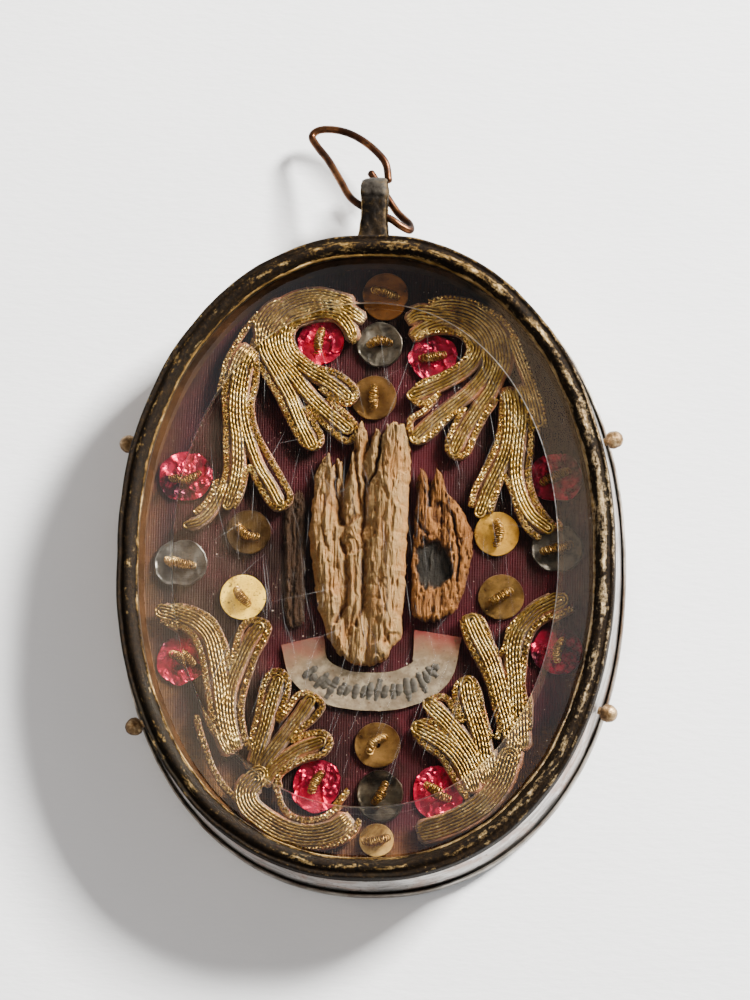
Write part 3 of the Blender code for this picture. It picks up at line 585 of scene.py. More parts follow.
def makeGlass():
    look = newLook("clearGlass", 0.0, Transmission_Weight=1.0, IOR=1.5)
    look.node_tree.nodes["Principled BSDF"].inputs["Base Color"].default_value = (*glazing["tint"], 1)
    wipe = grain(look, 0.9, 2.0, where=spot(look, (4, 0.3, 1), 0.5))
    wear(look, height=plus(look, grain(look, 0.12, 2.0), wipe, 0.03), depth=0.03)
    # the line where the bevel was ground is a little rough
    ground = newLook("groundCorner", 0.35, Transmission_Weight=1.0, IOR=1.5)
    patchy = grain(ground, 1.5, 4.0)
    wear(ground, ramp(ground, patchy, ((0.4, (0.75, 0.72, 0.66)), (0.6, (1.0, 0.98, 0.94)))),
         height=grain(ground, 2.5, 4.0), depth=0.06)
    turns = ovalTurns()
    rim, table = ovalAt(turns, np.array(glazing["out"])), tableAt(turns)
    rows = [(rim, glazing["under"]), (rim, glazing["edge"])]
    rise = glazing["table"] - glazing["edge"]
    for share in glazing["bevelRows"]:
        rows.append((rim + (table - rim) * share, glazing["edge"] + rise * share))
    rows += [(table * 0.999, glazing["table"] - 0.003), (table * 0.99, glazing["table"])]
    grid = np.array([np.column_stack((flat, np.full(len(turns), height))) for flat, height in rows])
    shape = Body()
    first = shape.sheet(grid, True)
    frosted = np.array(shape.looks).reshape(len(rows) - 1, len(turns))
    frosted[4:6] = 1
    shape.looks = frosted.ravel().tolist()
    shape.lids(first, len(turns), len(rows))
    glass = shape.finish("bevelledGlass", [look, ground], sharp=12)
    glass.visible_shadow = False
    settle(glass, "glass", "glass")


def makeScratches():
    # hairlines in the polish, most of them run the same way
    look = newLook("scratchedPolish", 0.6, Alpha=0.1)
    wear(look, ramp(look, grain(look, 0.8), ((0.3, (0.5, 0.5, 0.5)), (0.7, (0.95, 0.95, 0.95)))))
    chance = np.random.default_rng(17)
    shape = Body()
    top = glazing["table"]
    runs = [np.array(run) for run in glazing["longScratches"]]
    while len(runs) < glazing["hairlines"] + len(glazing["longScratches"]):
        x, y = chance.uniform(-17, 17), chance.uniform(-25, 24)
        lean = chance.normal(1.72, 0.1) if chance.random() < 0.72 else chance.uniform(0, math.pi)
        if y < -12:
            lean = chance.normal(1.25, 0.06)
        reach = chance.gamma(2.0, 1.5) + 0.8
        bow = chance.normal(0, 0.03) * reach
        step = np.array((math.cos(lean), math.sin(lean))) * reach / 2
        middle = np.array((x, y)) + bow * np.array((-step[1], step[0])) / reach
        runs.append(np.array(((x, y) - step, middle, (x, y) + step)))
    for run in runs:
        flat, marks = evenRun(smoothRun(run, 8), 0.8)
        inside = (np.abs(flat / glazing["hairField"]) ** oval["fullness"]).sum(1) < 1
        flat, marks = flat[inside], marks[inside]
        if len(flat) < 3:
            continue
        width = glazing["hairWidth"] * chance.uniform(0.6, 1.7)
        thin = width * np.sin(np.linspace(0.15, math.pi - 0.15, len(flat)))
        shape.tube(np.column_stack((flat, np.full(len(flat), top + 0.002))), marks, thin, 3)
    hairlines = shape.finish("glassHairlines", [look])
    hairlines.visible_shadow = False
    settle(hairlines, "glass")


def makeLining():
    look = newLook("liningPaper", 0.8, Specular_IOR_Level=0.08)
    fibre = grain(look, 1.6, 5.0, 0.6)
    stain = grain(look, 0.28, 5.0, distortion=0.5)
    dark = ramp(look, stain, ((0.32, (0.004, 0.002, 0.001)), (0.68, (0.024, 0.0105, 0.0045))))
    glow = ramp(look, stain, ((0.3, (0.018, 0.0065, 0.0012)), (0.7, (0.060, 0.025, 0.005))))
    pale = ramp(look, stain, ((0.3, (0.007, 0.0029, 0.0011)), (0.7, (0.034, 0.0148, 0.0054))))
    # painted light and shade: the lining keeps its darkest colour on the shaded top and right, an orange
    # glow on the lit bottom and a paler brown on the lit left
    colour = mixColours(look, pointValue(look, "glow"), dark, glow)
    colour = mixColours(look, pointValue(look, "pale"), colour, pale)
    colour = mixColours(look, pinholes(look, 1.3, 0.13), colour, (0.008, 0.004, 0.003))
    wear(look, colour, height=sums(look, "ADD", fibre, stain), depth=0.12)
    turns = ovalTurns()
    rows, strength = slantedStrip(filling["liningFoot"], filling["liningTop"], 7, filling["liningThick"])
    across, up = 14 * np.cos(turns), 14 * np.sin(turns)
    creases = -0.12 * np.abs(layeredNoise(across, up, 8))
    grid = ovalSheet(rows, turns, (strength * 2, creases, 0 * turns))
    lining = ringPiece("paperLining", look, grid, rows, turns, 50)
    rowCount = len(rows) + 1
    # painted light: the glow is strongest at the bottom and the paler colour on the left, the sides that
    # face the lamp
    litBottomGlow = np.clip(-np.cos(turns) * 1.5 - 0.35 + 0.3 * softNoise(across, up, 2), 0, 1)
    litLeftShare = np.clip(-np.sin(turns) * 1.6 - 0.5 + 0.35 * softNoise(across, up, 4), 0, 1)
    paint(lining, "glow", np.tile(litBottomGlow, rowCount))
    paint(lining, "pale", np.tile(litLeftShare, rowCount))
    settle(lining, "lining_paper", "lining_strip")


def makeSilk():
    look = newLook("ribbedSilk", 0.55, Specular_IOR_Level=0.04)
    ribs = addNode(look, "TexWave", {"Vector": spot(look), "Scale": 1.08, "Distortion": 0.35,
                                     "Detail": 2.0, "Detail Scale": 0.6},
                   wave_type="BANDS", bands_direction="X").outputs["Fac"]
    picks = grain(look, 2.2, 2.0, where=spot(look, (0.5, 2.4, 1)))
    cloud = grain(look, 0.07, 3.0)
    faded = ramp(look, cloud, ((0.35, (0.003, 0.0010, 0.0014)), (0.65, (0.016, 0.0012, 0.0034))))
    thread = ramp(look, cloud, ((0.35, (0.011, 0.0050, 0.0052)), (0.65, (0.038, 0.0058, 0.0095))))
    colour = mixColours(look, ramp(look, ribs, ((0.3, 0.2), (0.9, 0.8))), faded, thread)
    soiling = grain(look, 0.24, 6.0, 0.62, where=spot(look, (1, 0.6, 1)))
    colour = patches(look, colour, soiling, 0.46, 0.62, 0.85, (0.0045, 0.0020, 0.0016))
    dust = sums(look, "MAXIMUM", pinholes(look, 1.7, 0.09), pinholes(look, 0.8, 0.07))
    dust = sums(look, "MULTIPLY", dust, ramp(look, grain(look, 0.4), ((0.42, 0.0), (0.6, 1.0))))
    glueAndGlow = ramp(look, picks, ((0.3, (0.028, 0.011, 0.003)), (0.7, (0.13, 0.062, 0.016))))
    # brown soiling with a painted glow beside the rim
    colour = mixColours(look, pointValue(look, "rim"), colour, glueAndGlow)
    colour = mixColours(look, dust, colour, (0.40, 0.36, 0.33))
    wear(look, colour, height=plus(look, ribs, picks, 0.9), depth=0.035)
    turns = ovalTurns(filling["silkSides"])[::-1]
    top, out = filling["silkTop"], filling["silkOut"]
    edge = ovalAt(turns, np.array(out - filling["silkRound"]))
    flats = [(edge * share, top) for share in np.linspace(0.02, 1, filling["silkRows"])]
    # the cushion's edge rounds over and drops to its foot
    for inset, height in ((0.42, top - 0.05), (0.2, top - 0.18), (0.05, top - 0.38), (0.0, top - 0.6),
                          (0.0, filling["silkFoot"])):
        flats.append((ovalAt(turns, np.array(out - inset)), height))
    grid = np.array([np.column_stack((flat, np.full(len(turns), height))) for flat, height in flats])
    hills = layeredNoise(grid[:-1, :, 0] * 0.16 + 9, grid[:-1, :, 1] * 0.11 + 9, 7)
    pucker = np.abs(softNoise(grid[:-1, :, 0] * 0.9 + 30, grid[:-1, :, 1] * 0.16 + 30, 19))
    grid[:-1, :, 2] -= filling["sag"] * (0.5 - 0.5 * hills) + filling["pucker"] * pucker
    shape = Body()
    first = shape.sheet(grid, True)
    shape.lids(first, len(turns), len(grid))
    silk = shape.finish("silkGround", [look], sharp=60)
    # glue and dust brown the foot of the silk beside the rim, and a painted glow from the lit lining warms
    # it, most on the low side
    middle = outline(turns)[None] * 0.80
    reach = np.linalg.norm(grid[..., :2], axis=-1) / np.linalg.norm(middle, axis=-1)
    soiledAndGlowing = (reach - 1) * 5 + 0.35 * layeredNoise(grid[..., 0] * 0.3 + 40, grid[..., 1] * 0.3 + 40, 33)
    lowSide = np.clip(0.55 - 0.8 * np.cos(turns), 0.1, 1)
    paint(silk, "rim", np.clip(soiledAndGlowing, 0, 1) * lowSide)
    settle(silk, "dark_silk", "silk_pad")


# gilt wirework: each row is a bundle of twisted strands or a crinkled purl edge
wirework = {
    "pitch": 0.365, "strandRadius": 0.139, "strandStep": 0.13, "twist": 0.10, "twistPitch": 0.52,
    "strandHeight": 6.56, "rowLift": 0.012, "groundFoot": 5.925, "groundHeight": 6.4, "groundEdge": 0.42,
    "purlRadius": 0.175, "purlGap": 0.34, "purlHeight": 6.42, "purlDrop": 0.12, "purlStep": 0.09,
    "beadPitch": 0.44,
    # painted shade: the two lower sprays get larger shares, which darken them
    "tarnishAndShade": (0.12, 0.0, 0.38, 0.36),  # one share for each spray
    # dark, middle and bright tones, and roughness
    "strandTones": ((0.085, 0.046, 0.011), (0.44, 0.295, 0.082), (1.0, 0.82, 0.40), 0.24),
    "purlTones": ((0.13, 0.072, 0.018), (0.60, 0.41, 0.125), (1.0, 0.86, 0.46), 0.2),
}
sprayRuns = {
    "upperLeft": (
        ("strands", 4, ((-6.7, 13.6), (-8.0, 16.2), (-9.4, 19.5), (-11.1, 22.4), (-12.4, 24.8),
            (-12.6, 26.4), (-12.1, 28.2), (-10.9, 29.6), (-8.8, 30.8), (-6.3, 31.2), (-4.0, 30.6),
            (-2.1, 30.0))),
        ("strands", 4, ((-2.6, 15.5), (-4.9, 17.4), (-7.1, 19.5), (-9.0, 21.9), (-10.9, 24.3),
            (-11.5, 26.5), (-10.8, 27.8), (-9.5, 29.2), (-7.4, 30.1), (-5.1, 30.1), (-3.1, 29.8),
            (-0.9, 28.4))),
        ("strands", 4, ((-2.7, 19.3), (-4.8, 21.0), (-7.2, 22.5), (-9.3, 24.3), (-10.0, 26.2),
            (-9.6, 28.0), (-8.1, 28.8), (-6.0, 29.3), (-4.0, 29.1), (-2.6, 27.6), (-2.1, 26.0))),
        ("strands", 2, ((-13.0, 26.4), (-13.1, 27.9), (-12.0, 29.7), (-10.4, 30.6))),
        ("strands", 3, ((-21.1, 4.1), (-19.6, 4.6), (-18.3, 5.9), (-17.4, 7.6), (-16.9, 9.2))),
        ("purl", 1, ((-20.3, 5.6), (-19.2, 6.5), (-18.3, 7.9), (-17.8, 9.5))),
        ("strands", 4, ((-16.4, 6.5), (-15.6, 8.9), (-15.3, 11.5), (-15.4, 14.3), (-15.8, 17.2),
            (-15.7, 20.5), (-15.1, 23.4), (-14.0, 25.2))),
        ("strands", 3, ((-10.3, 6.7), (-11.5, 8.9), (-12.9, 11.2), (-14.0, 14.1), (-14.8, 17.2),
            (-14.8, 20.5), (-14.3, 23.1), (-13.5, 24.9))),
        ("purl", 1, ((-17.4, 8.1), (-16.7, 10.6), (-16.8, 13.6), (-16.9, 17.2), (-17.1, 19.6),
            (-16.9, 21.2), (-16.6, 23.1), (-15.7, 25.0), (-14.4, 27.2), (-13.0, 29.1))),
        ("purl", 1, ((-15.8, 6.2), (-14.9, 8.2), (-14.5, 10.3), (-13.9, 11.0), (-13.1, 9.4),
            (-12.0, 7.5), (-10.8, 6.2), (-9.7, 6.5), (-9.2, 7.6), (-10.2, 9.6), (-11.6, 12.0),
            (-13.0, 14.4), (-13.8, 16.7), (-14.0, 18.6), (-13.6, 20.5), (-13.4, 22.5),
            (-13.5, 24.4), (-13.4, 25.9))),
        ("purl", 1, ((-13.2, 23.4), (-12.2, 21.7), (-10.9, 19.6), (-9.8, 17.4), (-8.7, 15.3),
            (-7.7, 13.8), (-6.3, 13.4), (-5.7, 14.5), (-6.6, 16.3), (-7.7, 18.2))),
        ("purl", 1, ((-7.1, 18.4), (-5.7, 16.5), (-4.2, 15.1), (-2.6, 14.1), (-1.5, 15.3),
            (-2.6, 17.0), (-4.0, 18.2), (-5.0, 19.3))),
        ("purl", 1, ((-6.0, 20.5), (-4.3, 19.3), (-2.7, 18.6), (-1.7, 19.8), (-2.7, 21.2),
            (-4.4, 22.3), (-6.2, 22.8), (-7.9, 23.8), (-9.1, 25.3), (-9.4, 27.0), (-8.2, 28.5),
            (-6.4, 29.3), (-4.2, 28.7), (-2.8, 27.2), (-2.0, 25.8))),
        ("purl", 1, ((-8.0, 19.6), (-9.0, 21.5), (-8.1, 22.0))),
    ),
    "upperRight": (
        ("strands", 4, ((4.8, 19.5), (7.1, 20.5), (9.7, 21.8), (11.5, 23.2), (12.4, 25.0),
            (11.8, 26.3), (10.3, 27.5), (8.4, 28.2), (6.3, 27.6), (4.5, 26.4))),
        ("strands", 4, ((5.2, 14.5), (7.2, 16.4), (9.5, 18.3), (11.8, 20.2), (13.4, 22.4),
            (13.6, 24.5), (13.1, 26.4), (11.7, 27.9), (9.6, 28.7), (7.3, 28.9), (5.4, 29.1),
            (4.0, 28.3))),
        ("strands", 4, ((9.8, 12.9), (10.9, 15.3), (12.5, 17.9), (14.0, 20.2), (15.0, 22.8),
            (15.0, 24.7), (14.4, 26.8), (13.1, 28.3), (11.0, 29.6), (8.7, 29.9), (6.4, 29.5))),
        ("strands", 4, ((12.9, 5.6), (13.8, 8.2), (15.1, 11.0), (16.0, 13.8), (16.2, 16.7),
            (16.1, 19.0), (15.7, 20.5))),
        ("strands", 4, ((20.8, 3.7), (18.9, 5.3), (17.6, 7.7), (17.0, 10.5), (17.2, 13.6),
            (17.5, 16.7), (17.3, 19.0), (16.8, 20.5))),
        ("strands", 3, ((19.1, 16.0), (18.6, 18.4), (17.9, 20.7), (17.1, 22.9), (16.3, 25.0),
            (15.7, 26.4))),
        ("purl", 1, ((4.6, 19.6), (5.5, 18.6), (6.9, 18.9), (8.0, 19.8))),
        ("purl", 1, ((4.6, 19.6), (5.9, 21.0), (8.0, 21.8), (10.1, 23.0), (11.2, 24.3),
            (11.3, 25.6), (10.3, 26.8), (8.4, 27.2), (6.5, 27.0), (4.9, 26.2))),
        ("purl", 1, ((7.8, 19.6), (6.2, 17.7), (4.6, 16.5), (5.2, 14.1), (7.0, 14.8), (8.6, 16.5),
            (10.2, 17.9))),
        ("purl", 1, ((10.9, 18.1), (9.7, 15.8), (9.0, 13.6), (9.8, 12.3), (11.2, 12.7),
            (12.1, 14.8), (13.2, 17.0), (14.6, 19.1))),
        ("purl", 1, ((11.8, 6.3), (12.2, 8.2), (13.3, 10.6), (14.4, 12.9), (15.1, 15.3),
            (15.3, 17.7), (15.4, 19.8))),
        ("purl", 1, ((14.0, 5.6), (14.7, 8.2), (15.6, 9.9), (16.6, 8.2), (17.3, 5.9), (18.5, 3.7),
            (19.9, 2.6))),
        ("purl", 1, ((21.7, 3.7), (20.3, 5.4), (19.1, 7.3), (18.4, 10.1), (18.6, 12.9),
            (18.7, 15.3), (18.3, 17.7))),
        ("purl", 1, ((19.7, 15.6), (19.3, 18.0), (18.4, 20.6), (17.6, 22.9), (16.7, 25.3),
            (15.6, 27.4), (13.7, 29.1), (11.4, 30.3), (8.6, 30.7), (6.4, 30.2))),
    ),
    "lowerLeft": (
        ("strands", 5, ((-23.3, -5.9), (-22.1, -6.2), (-19.8, -7.1), (-18.1, -8.9), (-17.3, -11.5),
            (-16.8, -14.3), (-16.4, -17.1), (-15.9, -19.9), (-14.9, -22.3))),
        ("strands", 4, ((-12.5, -7.9), (-13.6, -9.6), (-14.8, -12.4), (-15.7, -15.0),
            (-15.8, -17.3), (-15.4, -19.9), (-14.6, -22.2))),
        ("strands", 4, ((-10.1, -14.0), (-10.8, -16.4), (-11.4, -18.9), (-12.1, -21.5),
            (-12.8, -24.0))),
        ("strands", 4, ((-6.4, -16.4), (-7.7, -18.4), (-9.5, -20.8), (-11.1, -22.9),
            (-12.2, -24.7))),
        ("strands", 4, ((-5.1, -21.2), (-7.2, -21.9), (-9.0, -23.1), (-10.6, -24.5),
            (-11.3, -25.8))),
        ("strands", 7, ((-12.2, -25.1), (-13.3, -26.5), (-12.9, -28.3), (-11.0, -29.9),
            (-8.8, -31.1), (-6.0, -31.6), (-3.3, -31.0), (-1.3, -29.4))),
        ("purl", 1, ((-23.3, -6.9), (-21.9, -7.5), (-20.2, -8.7), (-19.1, -11.0), (-18.5, -13.8),
            (-18.0, -16.6), (-17.5, -18.7), (-16.4, -20.3))),
        ("purl", 1, ((-19.0, -17.8), (-18.6, -19.6), (-17.3, -23.5), (-16.1, -25.6),
            (-14.5, -27.4), (-12.9, -29.5), (-10.1, -31.5), (-6.9, -32.7), (-3.8, -32.6),
            (-1.5, -31.4), (-0.4, -29.6))),
        ("purl", 1, ((-22.4, -5.3), (-20.1, -5.8), (-18.0, -7.0), (-16.8, -9.1), (-16.0, -11.2),
            (-15.7, -12.6), (-15.1, -10.1), (-14.5, -7.9), (-13.1, -7.0), (-11.5, -7.5),
            (-11.7, -8.9), (-12.8, -11.0), (-13.4, -12.9), (-14.1, -15.2), (-14.4, -17.5),
            (-14.1, -19.8), (-13.5, -21.7))),
        ("purl", 1, ((-13.2, -22.2), (-12.8, -19.8), (-12.3, -17.5), (-11.9, -14.9),
            (-11.1, -13.3), (-9.9, -13.0), (-9.0, -14.2), (-9.4, -16.6), (-10.1, -18.4))),
        ("purl", 1, ((-10.1, -18.9), (-8.9, -17.3), (-8.0, -15.9), (-6.7, -15.5), (-5.0, -16.8),
            (-5.9, -18.4), (-7.5, -19.8), (-8.6, -21.2))),
        ("purl", 1, ((-8.2, -21.0), (-6.6, -20.3), (-4.9, -20.1), (-4.0, -21.2), (-4.9, -22.6),
            (-6.7, -23.1), (-8.6, -24.0), (-9.9, -25.2), (-9.7, -26.6), (-9.0, -28.5),
            (-7.4, -29.6), (-5.2, -29.6), (-3.4, -28.6), (-1.8, -26.7))),
    ),
    "lowerRight": (
        ("strands", 5, ((12.1, -7.0), (13.1, -9.1), (14.3, -11.4), (15.2, -13.9), (15.9, -16.5),
            (16.7, -19.3), (16.7, -21.8), (16.4, -24.1))),
        ("strands", 5, ((21.8, -4.5), (19.5, -5.8), (17.5, -8.1), (16.9, -10.7), (17.1, -13.5),
            (17.3, -16.5), (17.4, -19.0), (17.7, -21.8))),
        ("strands", 5, ((11.6, -14.4), (12.0, -16.5), (12.8, -18.8), (13.5, -21.1), (13.9, -23.4),
            (14.4, -25.4))),
        ("strands", 5, ((7.4, -16.8), (9.1, -18.4), (10.7, -20.2), (12.1, -22.1), (13.0, -23.8),
            (13.5, -25.7))),
        ("strands", 5, ((6.1, -19.5), (8.0, -20.5), (9.8, -21.8), (11.2, -23.5), (11.9, -25.0),
            (12.4, -26.6))),
        ("purl", 1, ((11.0, -6.9), (11.9, -6.5), (13.0, -6.7), (13.8, -8.1), (14.5, -10.0),
            (15.4, -10.9), (16.1, -9.7), (16.5, -7.9), (18.1, -6.2), (19.9, -4.8), (21.7, -4.0))),
        ("purl", 1, ((11.0, -6.9), (11.5, -8.8), (12.4, -10.7), (13.4, -12.5), (14.3, -14.6),
            (14.9, -16.9), (15.5, -19.2), (15.2, -20.8))),
        ("purl", 1, ((23.1, -5.4), (21.1, -6.4), (19.3, -7.8), (18.4, -9.9), (18.1, -12.3),
            (18.0, -14.6), (18.3, -16.7), (18.3, -19.4))),
        ("purl", 1, ((10.2, -15.1), (10.8, -14.2), (12.0, -13.7), (12.9, -15.1), (13.4, -17.4),
            (14.1, -19.7), (14.6, -20.6))),
        ("purl", 1, ((10.2, -15.1), (10.7, -17.2), (11.4, -18.8))),
        ("purl", 1, ((6.9, -17.0), (7.9, -16.0), (9.3, -16.0), (10.2, -17.4), (11.1, -18.8))),
        ("purl", 1, ((6.9, -17.0), (8.1, -18.3), (9.8, -20.2), (11.0, -21.6))),
        ("purl", 1, ((5.5, -19.8), (6.3, -18.9), (7.7, -18.8), (9.3, -20.2), (10.7, -21.8))),
        ("purl", 1, ((5.5, -19.8), (6.8, -21.4), (8.7, -22.7), (9.8, -24.4), (10.8, -26.1),
            (11.7, -27.2))),
        ("strands", 7, ((16.2, -22.5), (15.3, -25.4), (13.6, -27.7), (11.3, -29.3), (8.6, -30.5),
            (6.0, -31.2))),
    ),
}
sprayNodes = {
    "upperLeft": "wirework_upper_left", "upperRight": "wirework_upper_right",
    "lowerLeft": "wirework_lower_left", "lowerRight": "wirework_lower_right",
}


def giltLook(name, dark, mid, bright, roughness):
    look = newLook(name, roughness, 1.0)
    tone = grain(look, 0.55, 5.0, 0.65)
    tarnishAndShade = grain(look, 0.16, 4.0)
    colour = ramp(look, tone, ((0.3, dark), (0.5, mid), (0.68, bright)))
    colour = patches(look, colour, tarnishAndShade, 0.52, 0.72, 0.7, dark)
    # painted shade: each spray is darkened by its own share, most on the lower sprays
    colour = mixColours(look, pointValue(look, "tarnishAndShade"), colour, dark)
    wrap = addNode(look, "TexWave", {"Vector": spot(look, (1.0, 0.9, 1), 0.0, True), "Scale": 0.9,
                                     "Distortion": 0.5}, bands_direction="DIAGONAL").outputs["Fac"]
    return wear(look, colour, ramp(look, tone, ((0.3, roughness + 0.12), (0.7, roughness))),
                height=sums(look, "ADD", wrap, tone), depth=0.045)


def makeSprays():
    strandLook = giltLook("giltStrand", *wirework["strandTones"])
    purlLook = giltLook("giltPurl", *wirework["purlTones"])
    ground = newLook("waxedPaper", 0.65)
    fibre = grain(ground, 1.4, 5.0, 0.6)
    cloud = grain(ground, 0.3, 3.0)
    paper = ramp(ground, fibre, ((0.3, (0.015, 0.006, 0.003)), (0.7, (0.085, 0.040, 0.018))))
    paper = patches(ground, paper, cloud, 0.45, 0.62, 0.8, (0.16, 0.05, 0.012))
    wear(ground, paper, height=fibre, depth=0.12)
    for order, (spray, rows) in enumerate(sprayRuns.items()):
        chance = np.random.default_rng(50 + order)
        shape = Body()
        for level, (kind, count, points) in enumerate(rows):
            flat = evenRun(smoothRun(points), wirework["strandStep"])[0]
            lift = wirework["rowLift"] * level
            half = (count - 1) / 2 * wirework["pitch"] + wirework["groundEdge"]
            layGround(shape, flat, half, lift, kind)
            if kind == "strands":
                layStrands(shape, flat, count, lift, chance)
            else:
                layPurl(shape, flat, chance, level)
        piece = shape.finish(spray + "Wirework", [ground, strandLook, purlLook], flat=2)
        paint(piece, "tarnishAndShade", np.full(len(piece.data.vertices), wirework["tarnishAndShade"][order]))
        settle(piece, "gilt_wire", sprayNodes[spray])
        print("wirework:", spray, len(piece.data.polygons), "faces")


def layGround(shape, flat, half, lift, kind):
    # the waxed paper that the wires are sewn to
    flat, marks = evenRun(flat, 0.5)
    side = sideOf(flat)
    top = wirework["groundHeight"] + lift - (wirework["purlDrop"] if kind == "purl" else 0.0)
    foot = wirework["groundFoot"]
    section = ((-1.0, foot), (-1.0, top - 0.2), (-0.86, top), (0.86, top), (1.0, top - 0.2), (1.0, foot))
    ends = np.minimum(1.0, 0.55 + np.minimum(marks, marks[-1] - marks) / (half * 0.8))
    grid = [np.column_stack((flat + side * (half * share * ends)[:, None], np.full(len(flat), height)))
            for share, height in section]
    shape.sheet(np.array(grid).transpose(1, 0, 2), True, marks, look=0, caps=True)


def layStrands(shape, flat, count, lift, chance):
    # strands lie side by side, and each outer pair turns round the tip into its partner
    side = sideOf(flat)
    marksFlat = np.linspace(0, evenRun(flat, wirework["strandStep"])[1][-1], len(flat))
    pitch = wirework["pitch"]
    for k in range(count // 2 + count % 2):
        reach = ((count - 1) / 2 - k) * pitch
        left, right = flat - side * reach, flat + side * reach
        # away from the finger tip the strands close up and dip under their neighbours
        tail = np.exp(-((marksFlat[-1] - marksFlat) / 0.9) ** 2)[:, None]
        left, right = left + side * reach * 0.3 * tail, right - side * reach * 0.3 * tail
        if reach > 0.1:
            turn = np.linspace(0, math.pi, 7)[1:-1, None]
            out = flat[0] - flat[1]
            out /= np.linalg.norm(out)
            bend = flat[0] + reach * (-side[0] * np.cos(turn) + out * np.sin(turn))
            path = np.vstack((left[::-1], bend, right))
        else:
            path = flat
        path, marks = evenRun(path, wirework["strandStep"])
        shake = layeredNoise(marks * 0.8, k * 7.7, int(chance.integers(1000)))
        rise = layeredNoise(marks * 0.5, k * 3.1, int(chance.integers(1000)))
        path = path + sideOf(path) * (0.028 * shake)[:, None]
        crown = 0.05 * (1 - reach / 0.8)
        away = marks[-1] - marks
        if reach > 0.1:
            away = np.minimum(away, marks)
        dip = 0.34 * np.exp(-(away / 0.8) ** 2)
        run = np.column_stack((path, wirework["strandHeight"] + lift + crown + 0.03 * rise - dip))
        shape.tube(run, marks, wirework["strandRadius"], 6, 1, wirework["twist"], wirework["twistPitch"])


def layPurl(shape, flat, chance, level):
    # two crinkled rows that catch the light in beads
    side = sideOf(flat)
    for k in (-0.5, 0.5):
        path, marks = evenRun(flat + side * k * wirework["purlGap"], wirework["purlStep"])
        phase = chance.uniform(0, fullTurn)
        swing = marks * fullTurn / wirework["beadPitch"] + phase + 2.2 * softNoise(marks * 0.7, level, 3)
        rough = softNoise(marks * 3.1, level + k, 61)
        path = path + sideOf(path) * (0.085 * np.sin(swing / 2) + 0.05 * rough)[:, None]
        radius = wirework["purlRadius"] * (0.80 + 0.42 * np.cos(swing) + 0.2 * rough)
        height = wirework["purlHeight"] + 0.08 * np.cos(swing / 2 + 1.3) + 0.05 * rough
        shape.tube(np.column_stack((path, height)), marks, radius, 6, 2)


